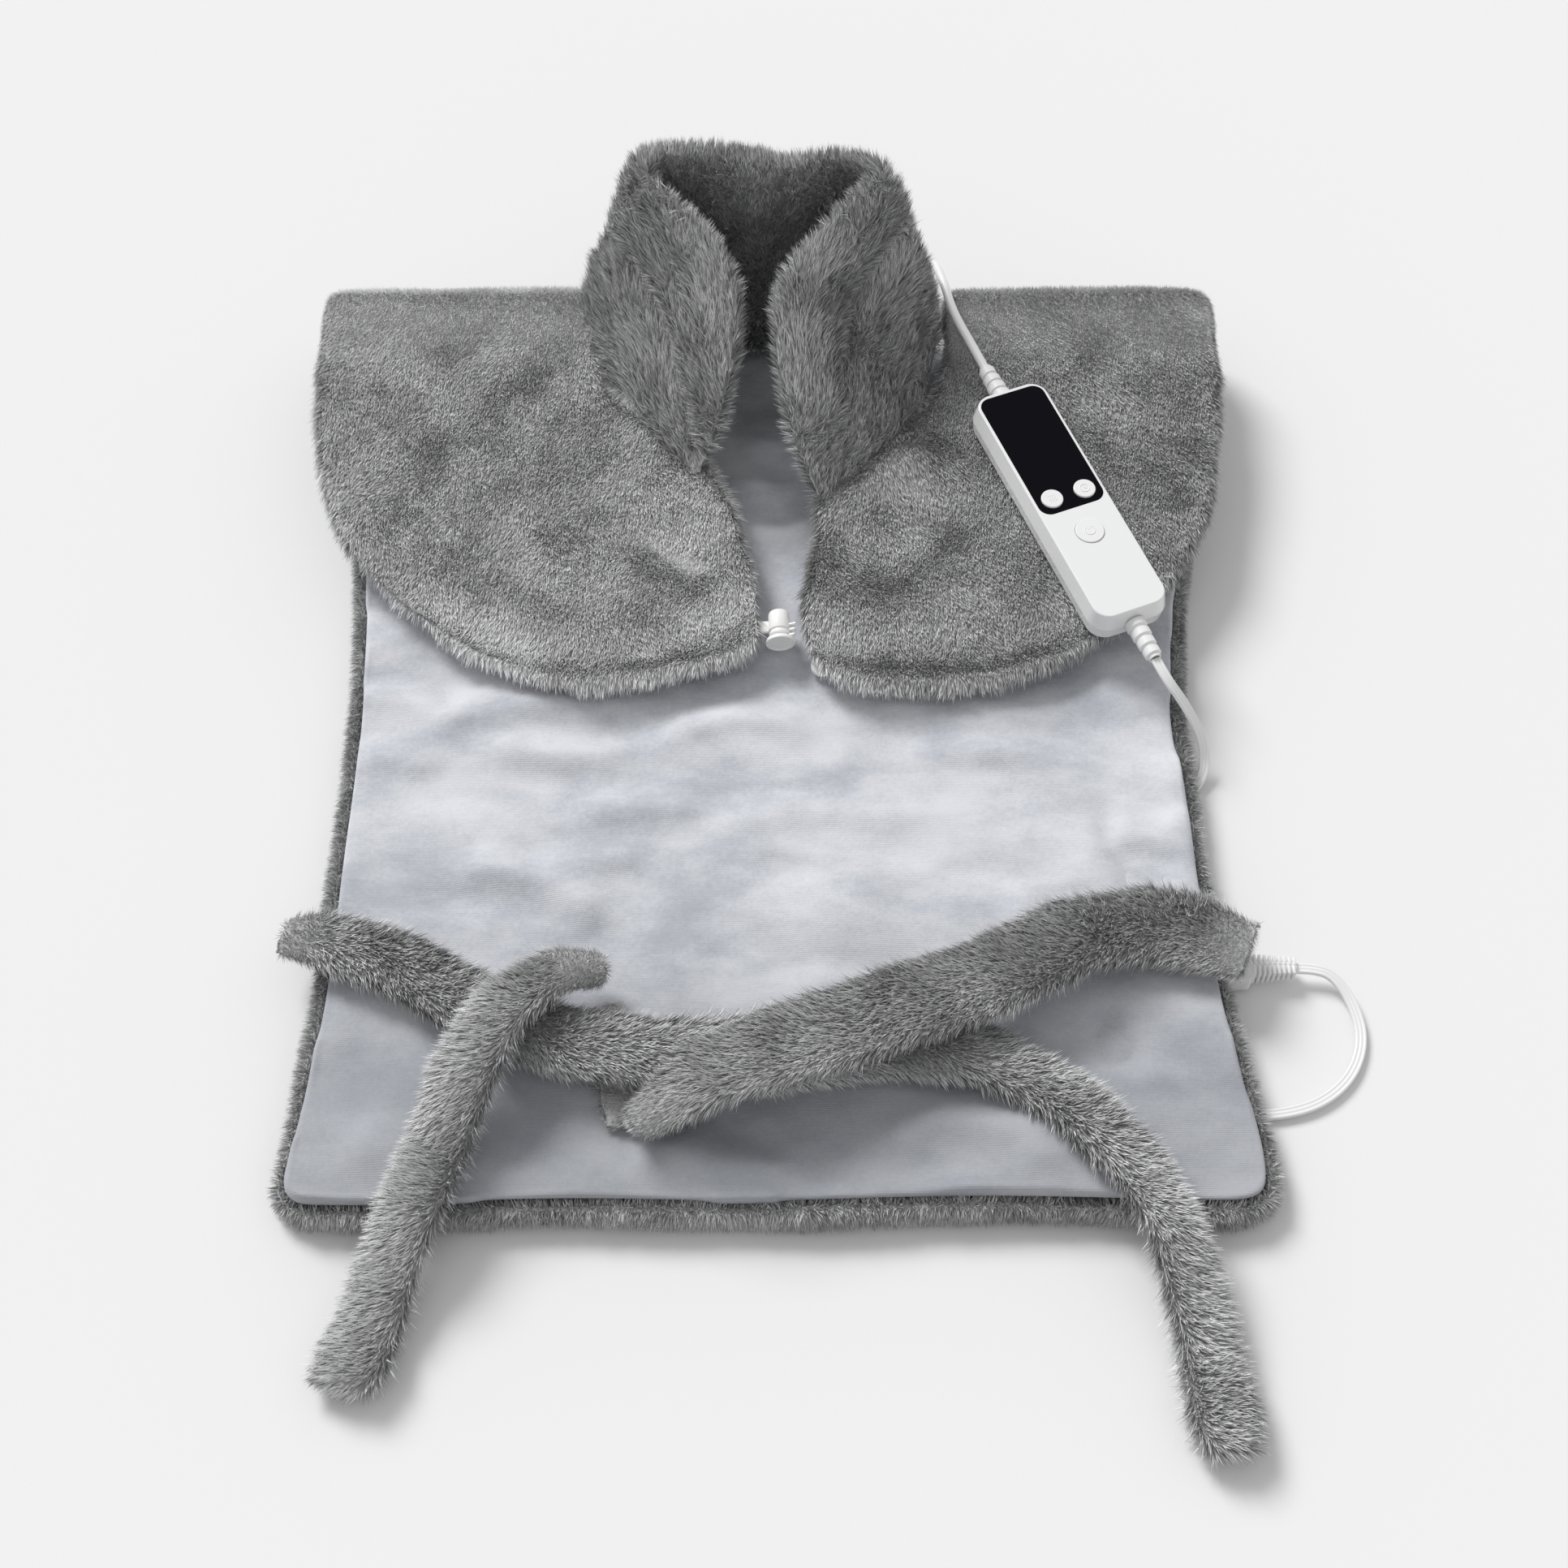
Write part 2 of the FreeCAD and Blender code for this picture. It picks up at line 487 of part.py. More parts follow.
def mains_lead():
    """From the controller over the shoulder fold and down to the coil behind the collar."""
    tip = CTRL_LENGTH / 2 + RELIEF_LENGTH + 0.1
    route = [in_place(0, tip, CTRL_SPLIT), in_place(0, tip + 14, CTRL_SPLIT + 1), (115, 326, 70), (110, 352, 72),
             (105, 376, 66), (101, 392, 46), (97, 403, 24), (88, 416, 7), (74, 427, 3.6), (62, 436, 4.0),
             (56.3, 446, 4.0)]
    to_plug = [(-13.4, 426, 4.0), (-14.5, 407, 3.4), (-24, 391, 3.2), (-40, 385, 3.6), (-51, 392, 5.5),
               (-52, 406.5, 8.5)]
    return {"mains_lead": tube(route, LEAD_R, "mains_lead"), "plug_lead": tube(to_plug, LEAD_R, "plug_lead")}


def coil():
    """The put-away length, wound into a neat round coil with a tie, and the plug beside it."""
    half = LEAD_R * COIL_TURNS_ACROSS
    height = 2 * LEAD_R * COIL_LAYERS
    ring = Part.makeCylinder(COIL_MIDDLE_R + half, height, COIL_CENTRE + UP * COIL_LIFT).cut(
        Part.makeCylinder(COIL_MIDDLE_R - half, height, COIL_CENTRE + UP * COIL_LIFT))
    side = COIL_CENTRE.x - COIL_MIDDLE_R
    outer = box((side - half - 1.4, COIL_CENTRE.y - 5, 0), (side + half + 2.4, COIL_CENTRE.y + 5, height + COIL_LIFT + 1.2))
    inner = box((side - half - 0.3, COIL_CENTRE.y - 6, COIL_LIFT - 0.05),
                (side + half + 1.2, COIL_CENTRE.y + 6, height + COIL_LIFT + 0.1))
    return {"mains_lead_coil": ring, "lead_tie": outer.cut(inner)}


def mains_plug():
    """Flat two-blade plug lying beside the coil."""
    body = rounded_plate(30, 24, 5, 0.5, 16.5, (-52, 446))
    body = body.makeFillet(2.0, [e for e in body.Edges if e.CenterOfMass.z > 16.4 or e.CenterOfMass.z < 0.6])
    relief = ribbed_relief(24, 5.4, 4.2, LEAD_R + 0.02, 4)
    relief.rotate(V(0, 0, 0), UP, 180)
    relief.translate(V(-52, 430.55, 8.5))
    blades = [box((-52 + x - 0.75, 461.0, 5.4), (-52 + x + 0.75, 478, 11.7)) for x in (-6.35, 6.35)]
    return {"mains_plug": body, "plug_strain_relief": relief, "plug_blades": Part.Compound(blades)}


def panel_lead():
    """From the controller down over the flap's edge, under the right edge and out as a loop."""
    tip = -(CTRL_LENGTH / 2 + RELIEF_LENGTH + 0.1)
    x = GROOVE_X
    down = [in_place(0, tip - 0.4, CTRL_SPLIT), in_place(0, tip - 13, CTRL_SPLIT - 1), (235, 51, 37), (246, 41, 21),
            (250, 29, 9), (245, 16, 3.8), (231, 5, 3.4), (216, -9, 3.4), (207, -29, 3.4), (x - 0.4, -51, 3.4),
            (x, -71.95, 3.4)]
    loop = [(x, -72.05, 3.4), (x - 0.5, -112, 3.4), (x + 0.6, -146, 3.4), (214, -174, 3.4), (236, -187, 3.2),
            (262, -188.5, 3.2), (287, -182, 3.2), (306, -166, 3.2), (315, -144, 3.2), (312, -123, 4.6),
            (304, -109.5, 7.6), (294, CONNECTOR_Y, CONNECTOR_Z), (CONNECTOR_FACE_X + 40.1, CONNECTOR_Y, CONNECTOR_Z)]
    return {"panel_lead": tube(down, LOOP_R, "panel_lead"), "loop_lead": tube(loop, LOOP_R, "loop_lead")}


def connector():
    """Socket sewn into the panel's edge, and the plug that pulls out of it."""
    face = CONNECTOR_FACE_X
    socket = box((face - SOCKET_DEPTH, CONNECTOR_Y - 10, 3), (face - 3, CONNECTOR_Y + 10, 15))
    socket = socket.cut(box((face - SOCKET_DEPTH + 4, CONNECTOR_Y - 7, 5), (face, CONNECTOR_Y + 7, 13)))
    contacts = [box((face - SOCKET_DEPTH + 0.5, CONNECTOR_Y + y - 0.6, CONNECTOR_Z - 1),
                    (face - SOCKET_DEPTH + 10, CONNECTOR_Y + y + 0.6, CONNECTOR_Z + 1)) for y in (-4, 0, 4)]
    socket = socket.cut(Part.Compound(contacts))
    nose = box((face - SOCKET_DEPTH + 5, CONNECTOR_Y - 6.7, 5.3), (face - 1, CONNECTOR_Y + 6.7, 12.7))
    for y in (-4, 0, 4):
        nose = nose.cut(box((face - SOCKET_DEPTH + 4, CONNECTOR_Y + y - 1, CONNECTOR_Z - 1.4),
                            (face - SOCKET_DEPTH + 12, CONNECTOR_Y + y + 1, CONNECTOR_Z + 1.4)))
    grip = rounded_plate(19, 18, 3, 2.9, 15.1, (face + 7, CONNECTOR_Y))
    relief = ribbed_relief(24, 6.0, 4.6, LOOP_R + 0.02, 5)
    relief.rotate(V(0, 0, 0), UP, -90)
    relief.translate(V(face + 16.05, CONNECTOR_Y, CONNECTOR_Z))
    return {"panel_socket": socket, "socket_contacts": Part.Compound(contacts),
            "connector_plug": nose.fuse(grip), "connector_strain_relief": relief}


def main():
    os.makedirs("parts", exist_ok=True)
    parts = {}
    for build in (back_panel, heating, flaps, collar, clasp, belts, controller, mains_lead, coil, mains_plug,
                  panel_lead, connector):
        parts.update(build())
    for name, shape in parts.items():
        bounds = shape.BoundBox
        print(f"{name:26s} solids {len(shape.Solids)} valid {shape.isValid()} volume {shape.Volume:10.0f} "
              f"x {bounds.XMin:.1f}..{bounds.XMax:.1f} y {bounds.YMin:.1f}..{bounds.YMax:.1f} "
              f"z {bounds.ZMin:.1f}..{bounds.ZMax:.1f}")
        shape.exportStep(f"parts/{name}.step")


main()
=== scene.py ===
"""Looks of the heated neck, shoulder and back wrap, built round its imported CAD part."""

import json
import logging
import math
from dataclasses import dataclass
from enum import Enum
from typing import Callable, Sequence

import bmesh
import bpy
import numpy as np
from mathutils import Matrix, Vector, noise

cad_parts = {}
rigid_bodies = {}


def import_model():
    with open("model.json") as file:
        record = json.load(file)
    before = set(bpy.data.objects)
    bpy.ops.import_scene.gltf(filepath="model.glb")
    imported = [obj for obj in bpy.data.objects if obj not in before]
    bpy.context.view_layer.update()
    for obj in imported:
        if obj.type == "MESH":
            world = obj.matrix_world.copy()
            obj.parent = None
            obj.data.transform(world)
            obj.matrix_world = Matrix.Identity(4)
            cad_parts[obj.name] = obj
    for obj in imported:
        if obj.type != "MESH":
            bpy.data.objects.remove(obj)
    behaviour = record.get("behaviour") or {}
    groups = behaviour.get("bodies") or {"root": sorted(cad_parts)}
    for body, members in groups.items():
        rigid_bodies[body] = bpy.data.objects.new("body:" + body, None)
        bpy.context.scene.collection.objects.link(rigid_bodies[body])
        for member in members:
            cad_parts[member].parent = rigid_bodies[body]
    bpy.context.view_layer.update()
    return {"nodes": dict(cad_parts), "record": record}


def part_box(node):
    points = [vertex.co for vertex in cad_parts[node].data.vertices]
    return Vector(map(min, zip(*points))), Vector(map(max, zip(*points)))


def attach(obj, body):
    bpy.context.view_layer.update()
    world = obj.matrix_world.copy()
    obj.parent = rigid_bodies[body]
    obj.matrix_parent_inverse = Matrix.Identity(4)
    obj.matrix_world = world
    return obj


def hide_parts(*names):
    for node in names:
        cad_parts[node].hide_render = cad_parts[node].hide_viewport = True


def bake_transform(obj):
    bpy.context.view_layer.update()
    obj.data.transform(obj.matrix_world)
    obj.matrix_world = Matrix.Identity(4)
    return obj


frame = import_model()

log = logging.getLogger("wrap")
Point = tuple[float, float, float]
Colour = tuple[float, float, float, float]


class Slot(Enum):
    """The record's material slots that the visual pieces take their finish from."""

    PLUSH = "plush_fur"
    BELT = "belt_fur"
    LINING = "velour_lining"
    LEAD = "lead_white"
    RELIEF = "relief_white"
    CLASP = "clasp_white"
    BUTTON = "button_white"


# ------------------------------------------------------------------ node trees

@dataclass(frozen=True)
class Signal:
    """An output socket; arithmetic on it adds Math nodes to its tree."""

    bench: "Bench"
    socket: bpy.types.NodeSocket

    def math(self, operation: str, *values: "float | Signal") -> "Signal":
        """One Math node on these values, in order."""
        return self.bench.add("ShaderNodeMath", {"operation": operation}, dict(enumerate(values)))

    def __add__(self, other: "float | Signal") -> "Signal":
        """The sum."""
        return self.math("ADD", self, other)

    def __radd__(self, other: float) -> "Signal":
        """The sum, with a number on the left."""
        return self.math("ADD", other, self)

    def __sub__(self, other: "float | Signal") -> "Signal":
        """The difference."""
        return self.math("SUBTRACT", self, other)

    def __rsub__(self, other: float) -> "Signal":
        """The difference, with a number on the left."""
        return self.math("SUBTRACT", other, self)

    def __mul__(self, other: "float | Signal") -> "Signal":
        """The product."""
        return self.math("MULTIPLY", self, other)

    def __rmul__(self, other: float) -> "Signal":
        """The product, with a number on the left."""
        return self.math("MULTIPLY", other, self)


@dataclass(frozen=True)
class Bench:
    """A node tree that nodes are added to and wired up in."""

    tree: bpy.types.NodeTree

    def add(self, kind: str, settings: dict, inputs: dict, output: "int | str" = 0) -> Signal:
        """Adds one node.

        Args:
            kind: The node's type.
            settings: Its properties, set before its sockets.
            inputs: Values or signals by socket name or number.
            output: Which output is wanted.

        Returns:
            That output.
        """
        node = self.tree.nodes.new(kind)
        for name, value in settings.items():
            setattr(node, name, value)
        for key, value in inputs.items():
            self.feed(node.inputs[key], value)
        return Signal(self, node.outputs[output])

    def feed(self, socket: bpy.types.NodeSocket, value: object) -> None:
        """Links a signal to a socket, or sets the socket's own value."""
        if isinstance(value, Signal):
            self.tree.links.new(value.socket, socket)
        else:
            socket.default_value = value

    def vector(self, operation: str, *values: object, output: "int | str" = 0) -> Signal:
        """One Vector Math node on these values, in order."""
        kind = "ShaderNodeVectorMath"
        slots = {"SCALE": (0, 3)}.get(operation, (0, 1, 2))
        return self.add(kind, {"operation": operation}, dict(zip(slots, values)), output)

    def mix(self, factor: Signal, first: Colour, second: Colour) -> Signal:
        """Two colours mixed by a factor."""
        inputs = {0: factor, 6: first, 7: second}
        return self.add("ShaderNodeMix", {"data_type": "RGBA"}, inputs, 2)


class Shader(Bench):
    """A material's node tree, with the shapes that most finishes use."""

    @classmethod
    def start(cls, name: str) -> "tuple[Shader, bpy.types.Material]":
        """A new material and the bench for its tree."""
        material = bpy.data.materials.new(name)
        material.use_nodes = True
        return cls(material.node_tree), material

    def surface(self, **sockets: object) -> None:
        """Sets or links the shader's sockets, named with underscores for spaces."""
        principled = self.tree.nodes["Principled BSDF"]
        for name, value in sockets.items():
            self.feed(principled.inputs[name.replace("_", " ")], value)

    def place(self) -> Signal:
        """Object coordinates."""
        return self.add("ShaderNodeTexCoord", {}, {}, "Object")

    def noise(self, scale: float, detail: float = 2.0, rough: float = 0.5,
              stretch: Point = (1.0, 1.0, 1.0)) -> Signal:
        """Noise from 0 to 1, with its pattern stretched along the axes."""
        where = self.vector("MULTIPLY", self.place(), stretch)
        inputs = {"Vector": where, "Scale": scale, "Detail": detail, "Roughness": rough}
        return self.add("ShaderNodeTexNoise", {}, inputs)

    def bump(self, height: Signal, distance: float, strength: float = 1.0) -> Signal:
        """A normal bumped by a height from 0 to 1, as deep as distance."""
        return self.add("ShaderNodeBump", {}, {"Height": height, "Distance": distance, "Strength": strength})


def grey(value: float, blue: float = 0.0) -> Colour:
    """An opaque grey, a little towards blue."""
    return (value, value + blue * 0.4, value + blue, 1.0)


# ------------------------------------------------------------------ finishes

@dataclass(frozen=True)
class Strand:
    """One shade of fur strand."""

    name: str
    shade: float
    roughness: float = 0.7
    sheen: float = 0.06

    def material(self) -> bpy.types.Material:
        """Builds the material."""
        bench, material = Shader.start(self.name)
        patches = bench.add("ShaderNodeMapRange", {"interpolation_type": "SMOOTHSTEP"},
                            {"Value": bench.noise(19.0, 2.0, 0.55), "From Min": 0.36, "From Max": 0.62})
        colour = bench.mix(patches, grey(self.shade * 0.84, 0.003), grey(self.shade, 0.004))
        bench.surface(Base_Color=colour, Roughness=self.roughness, Sheen_Weight=self.sheen,
                      Sheen_Roughness=0.4, Specular_IOR_Level=0.15)
        return material


@dataclass(frozen=True)
class FurGround:
    """The dark knitted ground and underfur that shows between the strands."""

    name: str
    dark: float
    light: float

    def material(self) -> bpy.types.Material:
        """Builds the material."""
        bench, material = Shader.start(self.name)
        tufts = bench.noise(260.0, 4.0, 0.6)
        patches = bench.noise(22.0, 2.0)
        colour = bench.mix(tufts * 0.7 + patches * 0.3, grey(self.dark), grey(self.light, 0.004))
        bench.surface(Base_Color=colour, Roughness=0.9, Sheen_Weight=0.2, Sheen_Roughness=0.5,
                      Specular_IOR_Level=0.1, Normal=bench.bump(tufts, 0.0015))
        return material


@dataclass(frozen=True)
class Velour:
    """Short-pile velour with fine knit rows and brushed patches, darker towards the waist: painted shade for
    the belts' shadow and the slope below them.
    """

    name: str
    shadow: Colour
    light: Colour
    row: float = 0.0011
    # Painted shade towards the waist: how dark it is against the shadow colour, how much of it is mixed in,
    # and the span along the panel where it comes in.
    painted_shade_factor: float = 0.56
    painted_shade_share: float = 0.55
    painted_shade_from: float = -0.20
    painted_shade_to: float = -0.06

    def material(self) -> bpy.types.Material:
        """Builds the material."""
        bench, material = Shader.start(self.name)
        brushed = bench.noise(15.0, 4.0, 0.6, (1.0, 1.7, 1.0))
        nap = bench.noise(420.0, 3.0, 0.7)
        rows = bench.add("ShaderNodeTexWave", {"bands_direction": "Y"},
                         {"Vector": bench.place(), "Scale": 0.314 / self.row, "Distortion": 1.2,
                          "Detail": 2.0, "Detail Scale": 3.0}, "Fac")
        blend = bench.add("ShaderNodeMapRange", {"interpolation_type": "SMOOTHSTEP"},
                          {"Value": brushed * 0.8 + nap * 0.2, "From Min": 0.28, "From Max": 0.68})
        # Painted shade: the lining darkens towards the waist, standing in for the shadow of the belts over
        # it.
        along_panel = bench.vector("DOT_PRODUCT", bench.place(), (0.0, 1.0, 0.0), output="Value")
        upper = bench.add("ShaderNodeMapRange", {"interpolation_type": "SMOOTHSTEP"},
                          {"Value": along_panel, "From Min": self.painted_shade_from, "From Max": self.painted_shade_to})
        patched = bench.mix(blend, self.shadow, self.light)
        painted_shade = tuple(self.painted_shade_factor * part for part in self.shadow[:3]) + (1.0,)
        colour = bench.mix(upper * self.painted_shade_share + (1.0 - self.painted_shade_share), painted_shade, patched)
        height = rows * 0.2 + nap * 0.8
        bench.surface(Base_Color=colour, Roughness=0.85 - 0.12 * nap,
                      Sheen_Weight=0.35, Sheen_Roughness=0.35, Sheen_Tint=(0.95, 0.97, 1.0, 1.0),
                      Specular_IOR_Level=0.15, Normal=bench.bump(height, 0.0004, 0.7))
        return material


@dataclass(frozen=True)
class Moulding:
    """Moulded plastic or rubber with a fine grain and slightly uneven gloss."""

    name: str
    colour: Colour
    roughness: float
    coat: float = 0.0
    grain: float = 900.0
    depth: float = 0.00004
    shine: float = 0.5

    def material(self) -> bpy.types.Material:
        """Builds the material."""
        bench, material = Shader.start(self.name)
        worn = bench.noise(35.0, 3.0)
        fine = bench.noise(self.grain, 2.0)
        bench.surface(Base_Color=self.colour, Roughness=worn * 0.08 + (self.roughness - 0.04),
                      Coat_Weight=self.coat, Coat_Roughness=0.12, Specular_IOR_Level=self.shine,
                      Normal=bench.bump(fine, self.depth, 0.5))
        return material


@dataclass(frozen=True)
class Metal:
    """Plated metal with fine brushing."""

    name: str
    colour: Colour
    roughness: float

    def material(self) -> bpy.types.Material:
        """Builds the material."""
        bench, material = Shader.start(self.name)
        brushing = bench.noise(120.0, 3.0, 0.6, (12.0, 1.0, 1.0))
        bench.surface(Base_Color=self.colour, Metallic=1.0, Roughness=brushing * 0.15 + self.roughness,
                      Normal=bench.bump(brushing, 0.00003, 0.4))
        return material


@dataclass(frozen=True)
class Cloth:
    """Plain woven, felted or hook-and-loop cloth."""

    name: str
    colour: Colour
    fibre: float = 300.0

    def material(self) -> bpy.types.Material:
        """Builds the material."""
        bench, material = Shader.start(self.name)
        fibres = bench.noise(self.fibre, 5.0, 0.7)
        darker = tuple(c * 0.75 for c in self.colour[:3]) + (1.0,)
        bench.surface(Base_Color=bench.mix(fibres, darker, self.colour), Roughness=0.95,
                      Sheen_Weight=0.2, Normal=bench.bump(fibres, 0.0004, 0.6))
        return material


class Finishes:
    """Every finish on the wrap, built once."""

    def __init__(self) -> None:
        """Builds all the materials."""
        self.strands: dict[float, bpy.types.Material] = {}
        self.ground = FurGround("plush_ground", 0.42, 0.60).material()
        self.lining = Velour("velour_lining", (0.40, 0.42, 0.46, 1.0), (0.66, 0.67, 0.705, 1.0)).material()
        self.by_slot = {
            "plush_fur": self.ground,
            "belt_fur": self.ground,
            "velour_lining": self.lining,
            "wadding": Cloth("needled_wadding", grey(0.8), 120.0).material(),
            "carrier_cloth": Cloth("carrier_cloth", grey(0.72)).material(),
            "heating_wire": Moulding("wire_insulation", (0.70, 0.69, 0.65, 1.0), 0.5).material(),
            "silicone_sleeve": Moulding("silicone_sleeve", (0.78, 0.76, 0.70, 1.0), 0.45).material(),
            "lead_white": Moulding("lead_white", grey(0.80), 0.42, 0.1, 500.0).material(),
            "relief_white": Moulding("relief_white", grey(0.80), 0.4, 0.1, 700.0).material(),
            "tie_black": Cloth("tie_black", grey(0.03), 500.0).material(),
            "blade_brass": Metal("blade_brass", (0.72, 0.55, 0.27, 1.0), 0.22).material(),
            "clasp_white": Moulding("clasp_white", (0.86, 0.855, 0.84, 1.0), 0.3, 0.25).material(),
            "shell_white": Moulding("shell_white", grey(0.80, 0.006), 0.26, 0.4).material(),
            "lens_black": Moulding("lens_black", (0.002, 0.002, 0.004, 1.0), 0.08,
                                   grain=300.0, depth=0.000004, shine=0.08).material(),
            "module_grey": Moulding("module_grey", grey(0.12), 0.6).material(),
            "board_green": Moulding("board_green", (0.03, 0.16, 0.07, 1.0), 0.4).material(),
            "screw_steel": Metal("screw_steel", grey(0.55), 0.28).material(),
            "button_white": Moulding("button_white", grey(0.80, 0.004), 0.34, 0.15).material(),
        }

    def strand(self, shade: float) -> bpy.types.Material:
        """The fur strand finish of this shade, built once."""
        if shade not in self.strands:
            self.strands[shade] = Strand(f"plush_strand_{shade:.2f}", shade).material()
        return self.strands[shade]

    def dress_nodes(self) -> None:
        """Gives every CAD node the finish of its slot."""
        for part in frame["record"]["subparts"]:
            for holder in frame["nodes"][part["node"]].material_slots:
                holder.link = "OBJECT"
                holder.material = self.by_slot[part["material_slot"]]


# ------------------------------------------------------------------ mesh helpers

def show(name: str, mesh: bpy.types.Mesh, material: "bpy.types.Material | None" = None) -> bpy.types.Object:
    """Puts a finished mesh in the scene.

    Args:
        name: The piece's name.
        mesh: Its mesh, in the frame's place.
        material: Its finish, unless its faces already have theirs.

    Returns:
        The new object.
    """
    if material:
        mesh.materials.clear()
        mesh.materials.append(material)
    piece = bpy.data.objects.new(name, mesh)
    bpy.context.scene.collection.objects.link(piece)
    log.info("%s: %d faces", name, len(mesh.polygons))
    return piece


def settled(piece: bpy.types.Object) -> bpy.types.Mesh:
    """The mesh that a piece's modifiers give; the piece itself is removed."""
    ready = piece.evaluated_get(bpy.context.evaluated_depsgraph_get())
    mesh = bpy.data.meshes.new_from_object(ready)
    mesh.name = piece.name
    bpy.data.objects.remove(piece)
    return mesh


def with_modifiers(mesh: bpy.types.Mesh, *modifiers: tuple[str, dict]) -> bpy.types.Mesh:
    """The mesh after these modifiers, each a type and its settings."""
    holder = bpy.data.objects.new("holder", mesh)
    bpy.context.scene.collection.objects.link(holder)
    for number, (kind, settings) in enumerate(modifiers):
        modifier = holder.modifiers.new(f"{kind}_{number}", kind)
        for name, value in settings.items():
            setattr(modifier, name, value)
    return settled(holder)


def rounded(mesh: bpy.types.Mesh, voxel: float, rounds: int) -> bpy.types.Mesh:
    """The mesh remade of even faces and smoothed this many times."""
    return with_modifiers(mesh,
                          ("REMESH", {"mode": "VOXEL", "voxel_size": voxel, "use_smooth_shade": True}),
                          ("SMOOTH", {"iterations": rounds, "factor": 0.5}))


def merged_copy(*nodes: str) -> bpy.types.Mesh:
    """One closed mesh copied from CAD nodes, with their loose triangles joined."""
    bm = bmesh.new()
    for node in nodes:
        bm.from_mesh(frame["nodes"][node].data)
    bmesh.ops.remove_doubles(bm, verts=bm.verts, dist=1e-5)
    mesh = bpy.data.meshes.new("copy")
    bm.to_mesh(mesh)
    bm.free()
    return mesh


def moved(mesh: bpy.types.Mesh, shift: Callable[[np.ndarray, np.ndarray], np.ndarray]) -> None:
    """Moves every point by what shift gives for all the places and normals."""
    places, normals = read_points(mesh)
    mesh.vertices.foreach_set("co", (places + shift(places, normals)).ravel())
    mesh.update()


def read_points(mesh: bpy.types.Mesh) -> tuple[np.ndarray, np.ndarray]:
    """All the places and normals of a mesh's points."""
    places = np.empty((len(mesh.vertices), 3), np.float32)
    normals = np.empty_like(places)
    mesh.vertices.foreach_get("co", places.ravel())
    mesh.vertex_normals.foreach_get("vector", normals.ravel())
    return places, normals


def rise(low: float, high: float, value: "np.ndarray | float") -> "np.ndarray | float":
    """0 at low, 1 at high, and a smooth rise between."""
    t = np.clip((value - low) / (high - low), 0.0, 1.0)
    return t * t * (3.0 - 2.0 * t)


def lumps(places: np.ndarray, pitch: float, seed: float, stretch: Point = (1.0, 1.0, 1.0)) -> np.ndarray:
    """Smooth noise from about -1 to 1 at each place."""
    scaled = places * np.array(stretch) / pitch + np.array((seed, seed * 1.7, -seed))
    return np.array([noise.noise(place) for place in scaled.tolist()])


@dataclass(frozen=True)
class Fold:
    """A soft ridge, or a crease where its height is negative, along a line over the surface."""

    line: Sequence[Point]
    width: float
    height: float
    open_ends: bool = False

    def lift(self, places: np.ndarray) -> np.ndarray:
        """How far this fold raises the surface at each place."""
        best = np.zeros(len(places))
        total = len(self.line) - 1
        for index, (start, end) in enumerate(zip(self.line, self.line[1:])):
            start, run = np.array(start), np.array(end) - np.array(start)
            t = np.clip((places - start) @ run / (run @ run), 0.0, 1.0)
            off = np.linalg.norm(places - start - t[:, None] * run, axis=1)
            along = (index + t) / total
            fade = 1.0 if self.open_ends else rise(0.0, 0.3, along) * rise(1.0, 0.7, along)
            best = np.maximum(best, fade * np.exp(-1.6 * (off / self.width) ** 2))
        return best * self.height


# ------------------------------------------------------------------ fur

Spread = Callable[[np.ndarray, np.ndarray], np.ndarray]


def everywhere(places: np.ndarray, normals: np.ndarray) -> np.ndarray:
    """1 at every place."""
    return np.ones(len(places))


